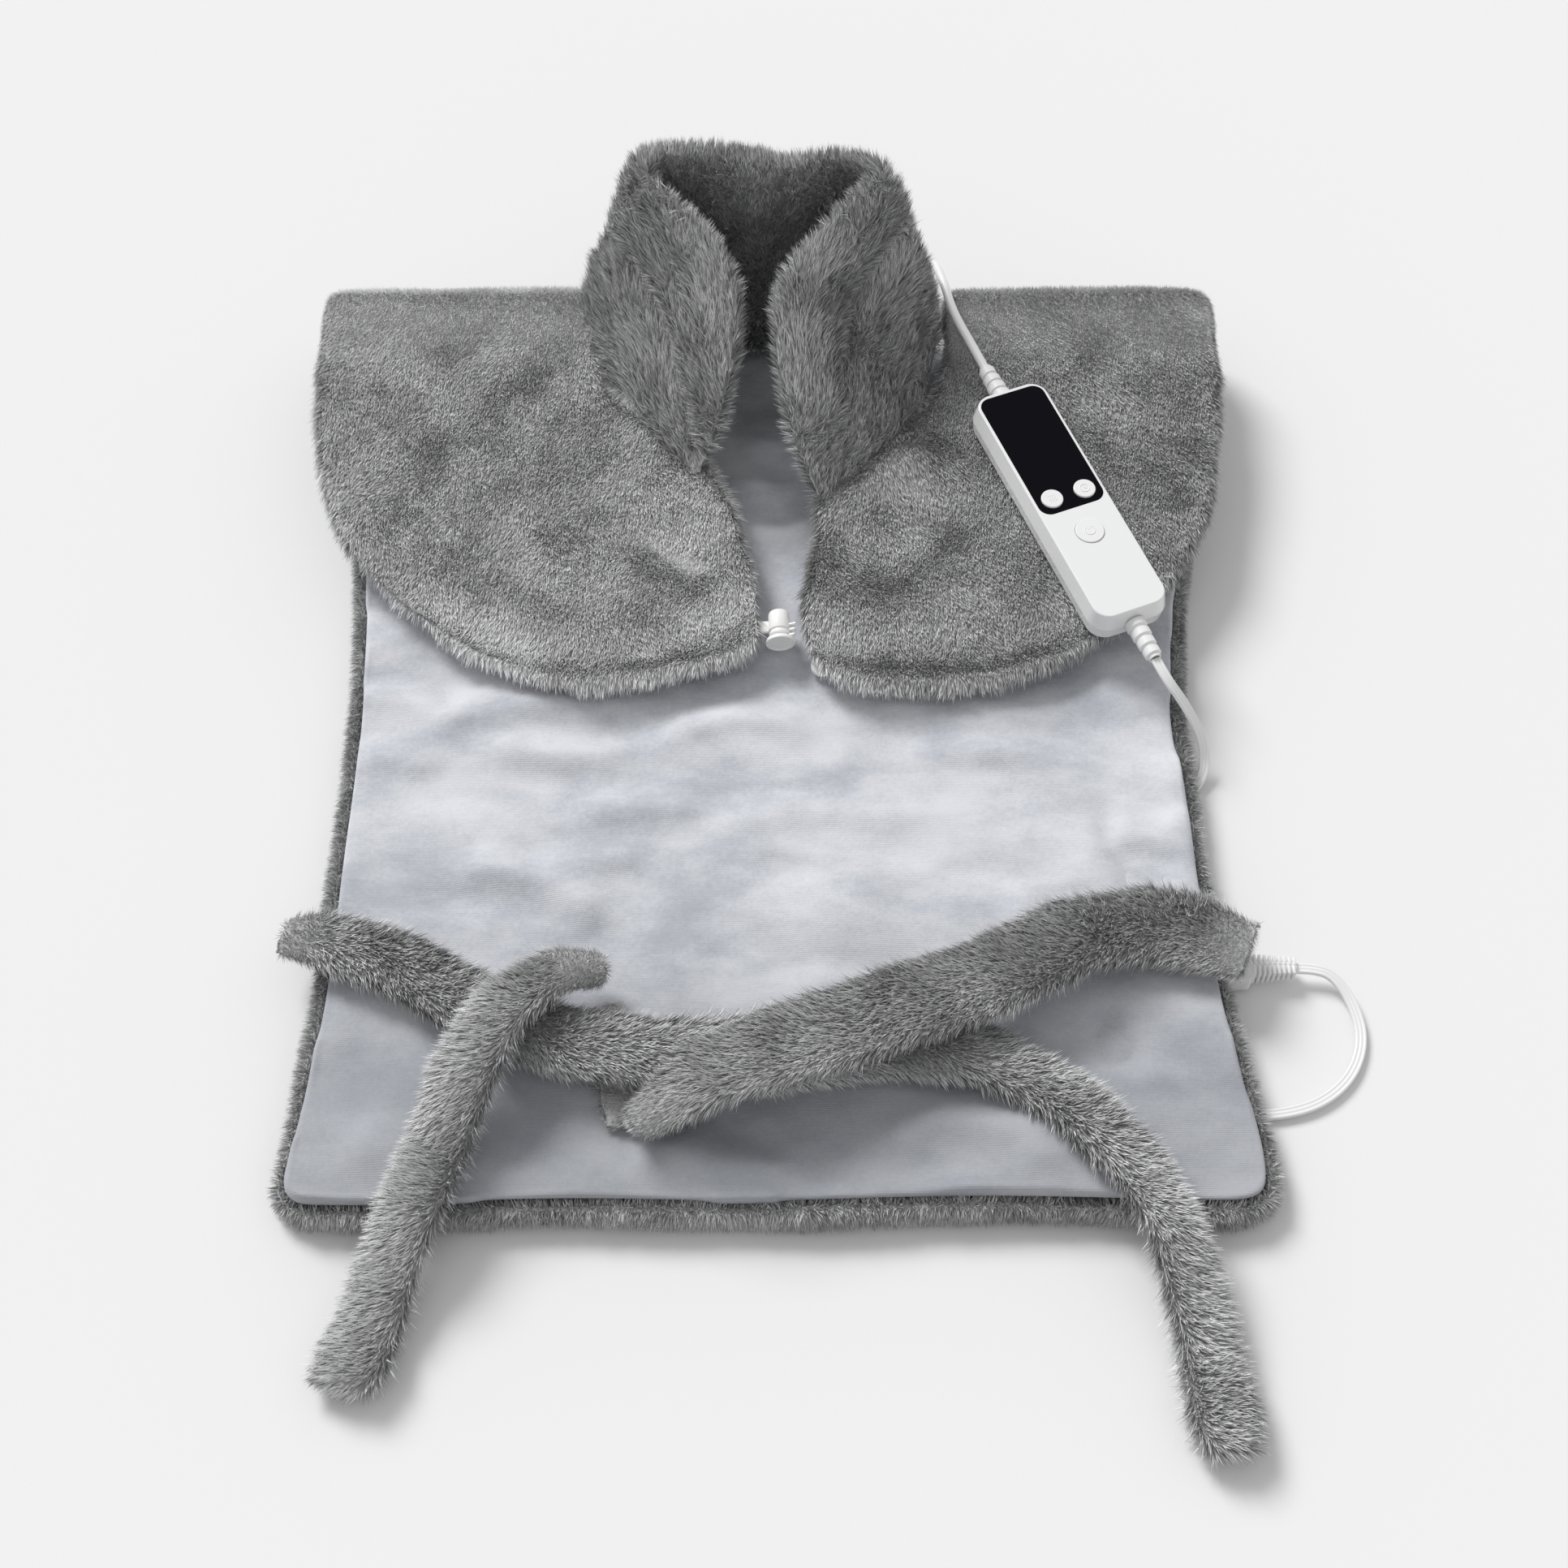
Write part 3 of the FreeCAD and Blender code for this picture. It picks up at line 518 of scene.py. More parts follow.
@dataclass(frozen=True)
class Pile:
    """Fur strands: their size, how thick they stand and how they lie."""

    length: float = 0.0066
    width: float = 0.00075
    density: float = 2500000.0
    comb: Point = (0.0, -1.0, -0.1)
    lift: float = 0.42
    lay: float = 0.75
    swirl: float = 0.4
    clump: float = 0.005
    gather: float = 0.22
    segments: int = 1
    flat_shade: float = 0.15
    stray: float = 0.12
    shades: tuple[float, ...] = (0.58, 0.66, 0.74, 0.82)
    root: float = 0.50
    seed: int = 1

    def strand(self, index: int, tip: bpy.types.Material, root: bpy.types.Material) -> bpy.types.Object:
        """A single curved, tapered strand along Z, its flat side towards X.

        Args:
            index: Its number, which sets how far it bends.
            tip: The shade of its tip.
            root: The shade of the rest, where it has more than one face.

        Returns:
            The strand, in no scene.
        """
        half = 0.5 * self.width * 1.0
        bend = 0.12 + 0.1 * index
        bm = bmesh.new()
        bmesh.ops.create_grid(bm, x_segments=1, y_segments=self.segments, size=0.5)
        for vert in bm.verts:
            along = vert.co.y + 0.5
            side = 2.0 * vert.co.x * half * (1.0 - along ** 2)
            vert.co = (bend * self.length * along ** 2, side, along * self.length)
        bmesh.ops.remove_doubles(bm, verts=bm.verts, dist=1e-6)
        for face in bm.faces:
            face.material_index = 1 if len(face.verts) == 4 else 0
        mesh = bpy.data.meshes.new(f"strand_{index}")
        bm.to_mesh(mesh)
        bm.free()
        mesh.materials.append(tip)
        mesh.materials.append(root)
        return bpy.data.objects.new(f"strand_{index}", mesh)

    def tree(self, strands: bpy.types.Collection, shades: int) -> bpy.types.NodeTree:
        """The node group that scatters strands over a pelt.

        Args:
            strands: The strands to pick from.
            shades: How many there are.

        Returns:
            The group, for a Geometry Nodes modifier.
        """
        group = bpy.data.node_groups.new("pile", "GeometryNodeTree")
        group.interface.new_socket("Geometry", in_out="INPUT", socket_type="NodeSocketGeometry")
        group.interface.new_socket("Geometry", in_out="OUTPUT", socket_type="NodeSocketGeometry")
        bench = Bench(group)
        pelt = bench.add("NodeGroupInput", {}, {})
        share = bench.add("GeometryNodeInputNamedAttribute", {"data_type": "FLOAT"}, {"Name": "pile"})
        density = self.density * 1.0
        spread = bench.add("GeometryNodeDistributePointsOnFaces", {"distribute_method": "RANDOM"},
                           {"Mesh": pelt, "Density": share * density, "Seed": self.seed})
        normal = Signal(bench, spread.socket.node.outputs["Normal"])
        direction = self.direction(bench, normal)
        stray = self.scatter(bench, 0.5, 3)
        along = bench.add("FunctionNodeAlignRotationToVector", {"axis": "Z"}, {"Vector": direction})
        flat = bench.add("FunctionNodeAlignRotationToVector", {"axis": "X", "pivot_axis": "Z"},
                         {"Rotation": along, "Vector": bench.vector("ADD", normal, stray)})
        longer = bench.add("GeometryNodeInputNamedAttribute", {"data_type": "FLOAT"}, {"Name": "long"})
        uneven = bench.add("FunctionNodeRandomValue", {"data_type": "FLOAT"}, {2: 0.65, 3: 1.2, "Seed": 5}, 1)
        pick = bench.add("FunctionNodeRandomValue", {"data_type": "INT"},
                         {4: 0, 5: shades - 1, "Seed": 9}, 2)
        chosen = bench.add("GeometryNodeCollectionInfo", {},
                           {"Collection": strands, "Separate Children": True, "Reset Children": True})
        rooted = bench.add("GeometryNodeStoreNamedAttribute",
                           {"data_type": "FLOAT_VECTOR", "domain": "POINT"},
                           {"Geometry": spread, "Name": "pelt_normal", "Value": normal})
        placed = bench.add("GeometryNodeInstanceOnPoints", {},
                           {"Points": rooted, "Instance": chosen, "Pick Instance": True,
                            "Instance Index": pick, "Rotation": flat, "Scale": longer * uneven})
        grown = bench.add("GeometryNodeRealizeInstances", {}, {"Geometry": placed})
        outward = bench.add("GeometryNodeInputNamedAttribute", {"data_type": "FLOAT_VECTOR"},
                            {"Name": "pelt_normal"})
        own = bench.add("GeometryNodeInputNormal", {}, {})
        soft = bench.vector("ADD", bench.vector("SCALE", own, self.flat_shade), outward)
        grown = bench.add("GeometryNodeSetMeshNormal", {"mode": "FREE", "domain": "POINT"},
                          {"Mesh": grown, "Custom Normal": bench.vector("NORMALIZE", soft)})
        bench.feed(group.nodes.new("NodeGroupOutput").inputs[0], grown)
        return group

    def scatter(self, bench: Bench, reach: float, seed: int) -> Signal:
        """A random vector, each part from -reach to reach."""
        inputs = {0: (-reach,) * 3, 1: (reach,) * 3, "Seed": seed}
        return bench.add("FunctionNodeRandomValue", {"data_type": "FLOAT_VECTOR"}, inputs)

    def direction(self, bench: Bench, normal: Signal) -> Signal:
        """Which way each strand points: up off the pelt, along the comb and towards its tuft."""
        place = bench.add("GeometryNodeInputPosition", {}, {})
        drift = bench.add("ShaderNodeTexNoise", {}, {"Vector": place, "Scale": 28.0, "Detail": 1.0}, "Color")
        turned = bench.vector("SCALE", bench.vector("SUBTRACT", drift, (0.5, 0.5, 0.5)), 4.0 * self.swirl)
        comb = bench.vector("ADD", turned, self.comb)
        off = bench.vector("DOT_PRODUCT", comb, normal, output="Value")
        level = bench.vector("SUBTRACT", comb, bench.vector("SCALE", normal, off))
        cell = bench.add("ShaderNodeTexVoronoi", {}, {"Vector": place, "Scale": 1.0 / self.clump}, "Position")
        inward = bench.vector("SCALE", bench.vector("SUBTRACT", cell, place), self.gather / self.length)
        upright = bench.vector("SCALE", normal, self.lift)
        swept = bench.vector("ADD", upright, bench.vector("SCALE", level, self.lay))
        strayed = bench.vector("ADD", swept, self.scatter(bench, self.stray, 7))
        return bench.vector("NORMALIZE", bench.vector("ADD", strayed, inward))

    def grow(self, name: str, pelt: bpy.types.Mesh, finishes: "Finishes") -> bpy.types.Object:
        """Grows the pile on a pelt whose "pile" and "long" attributes say where and how long.

        Args:
            name: The new piece's name.
            pelt: The mesh that the strands stand on.
            finishes: The wrap's finishes.

        Returns:
            The strands, as one mesh piece.
        """
        strands = bpy.data.collections.new("strands")
        for index, shade in enumerate(self.shades):
            strands.objects.link(self.strand(index, finishes.strand(shade), finishes.strand(self.root)))
        holder = bpy.data.objects.new(name, pelt)
        bpy.context.scene.collection.objects.link(holder)
        grown = holder.modifiers.new("Pile", "NODES")
        grown.node_group = self.tree(strands, len(self.shades))
        mesh = settled(holder)
        for strand in list(strands.objects):
            bpy.data.objects.remove(strand)
        bpy.data.collections.remove(strands)
        return show(name, mesh)


@dataclass
class FurPiece:
    """A fur-covered soft piece over a CAD solid: its pelt and its pile."""

    node: str
    body: str
    pile: Pile
    voxel: float = 0.0045
    sink: float = 0.0035
    rounds: int = 6
    lump: float = 0.0022
    lump_pitch: float = 0.060
    bend: "tuple[str, str, Point, Point] | None" = None
    folds: Sequence[Fold] = ()
    furred: Spread = everywhere
    longer: Spread = everywhere

    def pelt(self) -> bpy.types.Mesh:
        """The CAD solid, rounded."""
        return rounded(merged_copy(self.node), self.voxel, self.rounds)

    def relief(self, places: np.ndarray, normals: np.ndarray) -> np.ndarray:
        """How far each point moves for the pile's depth, the unevenness and the folds."""
        height = self.lump * lumps(places, self.lump_pitch, len(self.node) * 1.37) - self.sink
        height += sum((fold.lift(places) for fold in self.folds), np.zeros(len(places)))
        return normals * height[:, None]

    def build(self, finishes: Finishes, slot: Slot) -> None:
        """Makes the pelt over the CAD solid, and its pile."""
        self.cover(self.pelt(), finishes)

    def cover(self, mesh: bpy.types.Mesh, finishes: Finishes) -> None:
        """Makes the pelt and its pile from a smooth closed form.

        Args:
            mesh: The form, at the middle of the pile.
            finishes: The wrap's finishes.
        """
        moved(mesh, self.relief)
        for name, spread in (("pile", self.furred), ("long", self.longer)):
            values = spread(*read_points(mesh)).astype(np.float32)
            mesh.attributes.new(name, "FLOAT", "POINT").data.foreach_set("value", values)
        pile = self.pile.grow(self.node + "_pile", mesh.copy(), finishes)
        pelt = show(self.node + "_pelt", mesh, finishes.ground)
        mesh.shade_smooth()
        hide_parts(self.node)
        for piece in (pelt, pile):
            if self.bend:
                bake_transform(piece)
            else:
                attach(piece, self.body)


# ------------------------------------------------------------------ collar

@dataclass(frozen=True)
class Station:
    """One place along the collar: its rim and its seam, on the outer face, and how far it bulges."""

    rim: Point
    seam: Point
    bulge: float = 0.006


@dataclass
class Collar:
    """The standing collar, one padded fur wall from front tip to front tip, made in three pieces."""

    thick: float = 0.021
    neck: tuple[float, float] = (-0.006, 0.318)
    stations: Sequence[Station] = (
        Station((-0.040, 0.203, 0.050), (-0.048, 0.202, 0.040), 0.000),
        Station((-0.030, 0.217, 0.072), (-0.064, 0.228, 0.040), 0.004),
        Station((-0.024, 0.238, 0.099), (-0.092, 0.262, 0.042), 0.008),
        Station((-0.024, 0.262, 0.121), (-0.110, 0.300, 0.044), 0.012),
        Station((-0.032, 0.299, 0.137), (-0.122, 0.333, 0.044), 0.012),
        Station((-0.062, 0.344, 0.150), (-0.130, 0.358, 0.042), 0.012),
        Station((-0.098, 0.371, 0.162), (-0.112, 0.360, 0.032), 0.012),
        Station((-0.048, 0.377, 0.161), (-0.056, 0.352, 0.020), 0.004),
        Station((-0.006, 0.376, 0.160), (-0.002, 0.352, 0.020), 0.003),
        Station((0.020, 0.370, 0.155), (0.030, 0.352, 0.020), 0.002),
        Station((0.042, 0.374, 0.161), (0.056, 0.352, 0.020), 0.004),
        Station((0.091, 0.364, 0.160), (0.104, 0.356, 0.032), 0.010),
        Station((0.052, 0.330, 0.152), (0.118, 0.344, 0.042), 0.012),
        Station((0.020, 0.289, 0.137), (0.114, 0.310, 0.044), 0.010),
        Station((0.010, 0.262, 0.121), (0.108, 0.276, 0.044), 0.012),
        Station((0.009, 0.239, 0.101), (0.091, 0.236, 0.042), 0.010),
        Station((0.012, 0.215, 0.075), (0.061, 0.202, 0.040), 0.005),
        Station((0.029, 0.185, 0.050), (0.036, 0.174, 0.038), 0.000),
    )

    def inward(self, station: Station) -> Vector:
        """The level direction from the wall's middle at a station towards the neck."""
        rim, seam = station.rim, station.seam
        middle = Vector((rim[0] + seam[0], rim[1] + seam[1], 0.0)) * 0.5
        return (Vector((*self.neck, 0.0)) - middle).normalized()

    def ring(self, bm: bmesh.types.BMesh, station: Station) -> list[bmesh.types.BMEdge]:
        """Adds the wall's section at one station.

        Args:
            bm: The mesh under construction.
            station: Where.

        Returns:
            The section's edges, in order.
        """
        rim, seam = Vector(station.rim), Vector(station.seam)
        inward = self.inward(station)
        height = (rim - seam).length
        deep = inward * self.thick * min(1.0, 0.35 + height / 0.08)
        middle = rim.lerp(seam, 0.5) - inward * station.bulge
        crest = Vector((0.0, 0.0, 0.004))
        section = [seam, middle, rim, rim + deep * 0.5 + crest, rim + deep, middle + deep * 1.1, seam + deep,
                   seam + deep * 0.5 - crest * 0.5]
        ring = bmesh.ops.create_circle(bm, segments=len(section), radius=0.01)["verts"]
        for vert, place in zip(ring, section):
            vert.co = place
        return [edge for edge in bm.edges if edge.verts[0] in ring and edge.verts[1] in ring]

    def wall(self) -> bpy.types.Mesh:
        """The whole wall, rounded and even."""
        bm = bmesh.new()
        rings = [self.ring(bm, station) for station in self.stations]
        for here, following in zip(rings, rings[1:]):
            bmesh.ops.bridge_loops(bm, edges=here + following)
        bmesh.ops.holes_fill(bm, edges=rings[0] + rings[-1], sides=8)
        bmesh.ops.recalc_face_normals(bm, faces=bm.faces)
        mesh = bpy.data.meshes.new("collar")
        bm.to_mesh(mesh)
        bm.free()
        mesh = with_modifiers(mesh, ("SUBSURF", {"levels": 2, "render_levels": 2}))
        return rounded(mesh, 0.004, 3)

    def part(self, wall: bpy.types.Mesh, cuts: Sequence[tuple[Point, Point]]) -> bpy.types.Mesh:
        """A copy of the wall, cut off behind planes.

        Args:
            wall: The whole wall.
            cuts: Each plane's place and the direction to take away.

        Returns:
            What is left, closed at its cuts.
        """
        bm = bmesh.new()
        bm.from_mesh(wall)
        for place, away in cuts:
            geometry = bm.verts[:] + bm.edges[:] + bm.faces[:]
            bmesh.ops.bisect_plane(bm, geom=geometry, plane_co=place, plane_no=away, clear_outer=True)
        bmesh.ops.holes_fill(bm, edges=bm.edges, sides=0)
        mesh = bpy.data.meshes.new("collar_part")
        bm.to_mesh(mesh)
        bm.free()
        return mesh

    def crease(self, first: int, shares: Sequence[float], width: float, height: float) -> Fold:
        """A fold along the outer face, from the station of this number back towards lower numbers.

        Args:
            first: The station that it starts at.
            shares: How far down from the rim to the seam it lies at each station.
            width: Its width.
            height: Its height, negative for a crease.

        Returns:
            The fold.
        """
        line = []
        for station, share in zip(self.stations[first::-1], shares):
            bulge = self.inward(station) * station.bulge * 4 * share * (1 - share)
            line.append(tuple(Vector(station.rim).lerp(Vector(station.seam), share) - bulge))
        return Fold(line, width, height, True)

    def build(self, finishes: Finishes) -> None:
        """Makes the three pieces, each with its pile: the back on the panel and a front on each flap."""
        wall = self.wall()
        left_cut, right_cut = Vector((-0.102, 0.362, 0.0)), Vector((0.092, 0.356, 0.0))
        left_away, right_away = Vector((-0.35, -0.9, 0.0)), Vector((0.35, -0.9, 0.0))
        middle, rightwards = Vector((0.0, 0.0, 0.0)), Vector((1.0, 0.0, 0.0))
        under_rim = (0.10,) * 5
        creases_left = [self.crease(5, (0.42, 0.36, 0.34, 0.36, 0.42), 0.008, -0.007),
                        self.crease(5, under_rim, 0.010, 0.003)]
        creases_right = [self.crease(15, (0.46, 0.34, 0.30, 0.32, 0.36), 0.009, -0.011),
                         self.crease(15, under_rim, 0.010, 0.003),
                         self.crease(14, (0.80, 0.84, 0.86), 0.008, -0.007)]
        parts = (("back", "root", [(left_cut, left_away), (right_cut, right_away)], 51, ()),
                 ("left", "left_flap", [(left_cut, -left_away), (middle, rightwards)], 52, creases_left),
                 ("right", "right_flap", [(right_cut, -right_away), (middle, -rightwards)], 53,
                  creases_right))
        for side, body, cuts, seed, folds in parts:
            bend = None if body == "root" else (body, "root", (0.0, 0.235, 0.040), (0.0, 0.330, 0.110))
            # The collar's strands are darker than the flaps': painted shade, standing in for the shadow on
            # its outer faces.
            pile = Pile(seed=seed, comb=(0.0, 0.3, 1.0), length=0.0085, density=1800000.0, gather=0.6,
                        swirl=0.6, stray=0.16, shades=(0.32, 0.48, 0.66, 0.90), root=0.22)
            piece = FurPiece("collar_" + side, body, pile, sink=0.003, bend=bend, folds=folds)
            piece.cover(self.part(wall, cuts), finishes)
        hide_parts("collar_stiffener", "neck_heating_wire")


# ------------------------------------------------------------------ velour lining

def velour_piece(mesh: bpy.types.Mesh, node: str, body: str, finishes: Finishes) -> None:
    """Shows a velour mesh in place of a CAD node.

    Args:
        mesh: The finished mesh.
        node: The node that it replaces.
        body: The body that it rides.
        finishes: The wrap's finishes.
    """
    piece = show(node + "_velour", mesh, finishes.lining)
    mesh.shade_smooth()
    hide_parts(node)
    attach(piece, body)


@dataclass
class Lining:
    """The pale velour lining of the back panel, with its wrinkles and sewn edge."""

    folds: Sequence[Fold]
    voxel: float = 0.0050
    quick_voxel: float = 0.0070
    depth: float = 0.020
    fold_share: float = 1.9

    def build(self, finishes: Finishes) -> None:
        """Makes the lining piece."""
        mesh = merged_copy("back_lining")
        low, high = (corner[2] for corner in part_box("back_lining"))
        self.stretch(mesh, high, self.depth / (high - low))
        mesh = rounded(mesh, self.voxel, 6)
        self.stretch(mesh, high, (high - low) / self.depth)
        moved(mesh, self.crease)
        mesh = with_modifiers(mesh, ("SUBSURF", {"levels": 1, "render_levels": 1}))
        velour_piece(mesh, "back_lining", "root", finishes)

    def stretch(self, mesh: bpy.types.Mesh, level: float, factor: float) -> None:
        """Thickens or thins the lining below a level, so that its edge keeps its shape when remeshed."""
        upright = np.array((0.0, 0.0, 1.0))
        moved(mesh, lambda places, normals: (places[:, 2:] - level) * (factor - 1.0) * upright)

    def crease(self, places: np.ndarray, normals: np.ndarray) -> np.ndarray:
        """The wrinkles and the fullness of the padding."""
        level = places * np.array((1.0, 1.0, 0.0))
        height = self.fold_share * sum((fold.lift(level) for fold in self.folds), np.zeros(len(places)))
        height += 0.0040 * lumps(level, 0.050, 2.0, (0.8, 1.5, 1.0))
        ridges = 1.0 - 2.0 * np.abs(lumps(level, 0.075, 5.0, (0.6, 1.7, 1.0)))
        height += 0.0030 * ridges * rise(-0.1, 0.5, lumps(level, 0.11, 8.0))
        fine = 1.0 - 2.0 * np.abs(lumps(level, 0.034, 11.0, (0.7, 1.5, 1.0)))
        height += 0.0012 * fine
        shift = normals * 0.0025 * (1.0 - rise(0.7, 0.98, np.abs(normals[:, 2])))[:, None]
        shift[:, 2] += height * rise(0.2, 0.6, normals[:, 2])
        return shift


def flap_lining(node: str, body: str, finishes: Finishes) -> None:
    """The velour under one front flap, a little uneven."""
    mesh = rounded(merged_copy(node), 0.003, 3)
    moved(mesh, lambda places, normals: normals * (0.0006 * lumps(places, 0.030, 3.0) - 0.0004)[:, None])
    velour_piece(mesh, node, body, finishes)


# ------------------------------------------------------------------ leads

@dataclass
class Lead:
    """A lead along a smooth line through its route."""

    name: str
    route: Sequence[Point]
    radius: float
    nodes: tuple[str, ...]
    bends: tuple[str, str, Point, Point] | None = None
    cores: int = 1

    def line(self) -> bpy.types.Object:
        """The route's NURBS line, with no thickness."""
        curve = bpy.data.curves.new(self.name + "_line", "CURVE")
        curve.dimensions = "3D"
        curve.resolution_u = 12
        spline = curve.splines.new("NURBS")
        spline.points.add(len(self.route) - 1)
        for point, place in zip(spline.points, self.route):
            point.co = (*place, 1.0)
        spline.order_u = 3
        spline.use_endpoint_u = True
        line = bpy.data.objects.new(self.name + "_line", curve)
        bpy.context.scene.collection.objects.link(line)
        return line

    def path(self) -> list[Vector]:
        """Points along the line."""
        mesh = settled(self.line())
        points = [v.co.copy() for v in mesh.vertices]
        bpy.data.meshes.remove(mesh)
        return points

    def section(self) -> bpy.types.Object:
        """The outline of a flat lead with its cores side by side."""
        bm = bmesh.new()
        bmesh.ops.create_circle(bm, segments=16 * self.cores, radius=self.radius)
        outline = bpy.data.curves.new(self.name + "_section", "CURVE")
        outline.dimensions = "2D"
        spline = outline.splines.new("POLY")
        spline.points.add(len(bm.verts) - 1)
        for point, vert in zip(spline.points, bm.verts):
            across = vert.co.x / self.radius
            thick = 0.0013 * (0.72 + 0.28 * abs(math.cos(across * math.pi * self.cores / 2)))
            side = math.copysign(min(1.0, abs(vert.co.y) * 2.4 / self.radius), vert.co.y)
            point.co = (vert.co.x, side * thick, 0.0, 1.0)
        spline.use_cyclic_u = True
        bm.free()
        return bpy.data.objects.new(self.name + "_section", outline)

    def tube(self, material: bpy.types.Material) -> bpy.types.Object:
        """The lead itself, as a mesh piece."""
        line = self.line()
        section = None
        if self.cores > 1:
            section = self.section()
            line.data.bevel_mode = "OBJECT"
            line.data.bevel_object = section
            line.data.twist_mode = "Z_UP"
        else:
            line.data.bevel_depth = self.radius
            line.data.bevel_resolution = 4
        line.data.use_fill_caps = True
        mesh = settled(line)
        if section:
            bpy.data.objects.remove(section)
        mesh.shade_smooth()
        return show(self.name, mesh, material)

    def build(self, finishes: Finishes, **facts: object) -> bpy.types.Object:
        piece = self.tube(finishes.by_slot["lead_white"])
        if self.bends:
            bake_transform(piece)
        else:
            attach(piece, "root")
        if self.nodes:
            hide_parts(*self.nodes)
        2 * self.radius
        self.path()
        return piece


@dataclass
class Coil:
    """The stored length of the mains lead: turns lying beside and on each other.

    Its cells say where each turn lies in the coil's section: how far across and how high, in pitches.
    """

    centre: tuple[float, float] = (0.022, 0.436)
    start: float = 16.0
    turns: float = 8.5
    middle: float = 0.0300
    pitch: float = 0.0056
    low: float = 0.00395
    per_turn: int = 12
    swell: float = 1.035
    cells: tuple[tuple[int, int], ...] = ((1, 0), (0, 0), (-1, 0), (-1, 1), (0, 1),
                                          (-1, 2), (0, 2), (1, 2), (1, 1), (1, 0))

    def route(self) -> list[Point]:
        """The coil's route points, turn by turn."""
        points = []
        for step in range(round(self.turns * self.per_turn) + 1):
            turn = step / self.per_turn
            cell = min(int(turn + 0.5), len(self.cells) - 1)
            following = min(cell + 1, len(self.cells) - 1)
            share = float(rise(0.25, 0.5, turn - cell))
            across = self.cells[cell][0] + share * (self.cells[following][0] - self.cells[cell][0])
            layer = self.cells[cell][1] + share * (self.cells[following][1] - self.cells[cell][1])
            angle = math.radians(self.start + 360.0 * turn)
            radius = (self.middle + across * self.pitch) * self.swell
            points.append((self.centre[0] + radius * math.cos(angle),
                           self.centre[1] + radius * math.sin(angle), self.low + layer * self.pitch))
        return points


# ------------------------------------------------------------------ small mouldings

def solid(build: Callable[[bmesh.types.BMesh], None], place: Matrix) -> bpy.types.Mesh:
    """A closed mesh made in a moulding's own frame and put in its place."""
    bm = bmesh.new()
    build(bm)
    bmesh.ops.recalc_face_normals(bm, faces=bm.faces)
    bmesh.ops.transform(bm, matrix=place, verts=bm.verts)
    mesh = bpy.data.meshes.new("moulding")
    bm.to_mesh(mesh)
    bm.free()
    mesh.shade_smooth()
    return mesh


def block(bm: bmesh.types.BMesh, centre: Point, size: Point, rounding: float) -> None:
    """Adds a box with rounded edges."""
    place = Matrix.Translation(centre) @ Matrix.Diagonal((*size, 1.0))
    made = bmesh.ops.create_cube(bm, size=1.0, matrix=place)["verts"]
    edges = list({edge for vert in made for edge in vert.link_edges})
    bmesh.ops.bevel(bm, geom=edges, offset=rounding, segments=2, profile=0.5, affect="EDGES", material=-1)


def turned(bm: bmesh.types.BMesh, profile: Sequence[tuple[float, float]], steps: int = 48) -> None:
    """Adds a round solid along Z from its profile of heights and radii, with softened edges."""
    verts = [bm.verts.new((radius, 0.0, height)) for height, radius in profile]
    edges = [bm.edges.new(pair) for pair in zip(verts, verts[1:])]
    bmesh.ops.spin(bm, geom=verts + edges, axis=(0, 0, 1), cent=(0, 0, 0), angle=math.tau, steps=steps,
                   use_merge=True)
    bmesh.ops.remove_doubles(bm, verts=bm.verts, dist=1e-6)
    bmesh.ops.recalc_face_normals(bm, faces=bm.faces)
    sharp = [edge for edge in bm.edges if edge.is_manifold and edge.calc_face_angle() > 0.6]
    bmesh.ops.bevel(bm, geom=sharp, offset=0.0002, segments=2, profile=0.5, affect="EDGES", material=-1)


def facing(place: Point, along: Point, side: Point) -> Matrix:
    """A frame at a place, with Z along one direction and X near another."""
    z = Vector(along).normalized()
    x = (Vector(side) - z * z.dot(Vector(side))).normalized()
    turn = Matrix((x, z.cross(x), z)).transposed().to_4x4()
    return Matrix.Translation(place) @ turn


class Clasp:
    """The white snap clasp: its barrel with a flanged nose and a ribbed grip, and its sewn-in strap."""

    body = ((0.0, 0.0), (0.0, 0.0046), (0.0006, 0.0056), (0.0018, 0.0061), (0.0124, 0.0065))
    neck = ((0.0124, 0.0057), (0.0142, 0.0057), (0.0142, 0.0063), (0.0156, 0.0063), (0.0156, 0.0046),
            (0.0184, 0.0046))
    flange = ((0.0184, 0.0083), (0.0207, 0.0085), (0.0207, 0.0074), (0.0199, 0.0070), (0.0199, 0.0))

    def barrel(self, bm: bmesh.types.BMesh) -> None:
        """Adds the barrel and its grip ribs."""
        turned(bm, (*self.body, *self.neck, *self.flange))
        for step in range(3):
            block(bm, (0.0078 - 0.0006 * step, 0.0, 0.0098 + 0.0034 * step), (0.0050, 0.0030, 0.0012), 0.0003)

    def strap(self, bm: bmesh.types.BMesh) -> None:
        """Adds the short strap that holds the barrel to the flap."""
        block(bm, (0.0, 0.0, 0.0), (0.0140, 0.0080, 0.0022), 0.0006)

    def build(self, finishes: Finishes) -> None:
        """Makes the barrel and its strap in the frame's place."""
        place = facing((0.0068, 0.1140, 0.0380), (0.06, -1.0, -0.14), (1.0, 0.0, 0.35))
        barrel = show("clasp_barrel", solid(self.barrel, place), finishes.by_slot["clasp_white"])
        strap = show("clasp_strap", solid(self.strap, Matrix.Translation((-0.0045, 0.1055, 0.0350))),
                     finishes.by_slot["clasp_white"])
        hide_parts("clasp_socket")
        for piece in (barrel, strap):
            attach(piece, "left_flap")


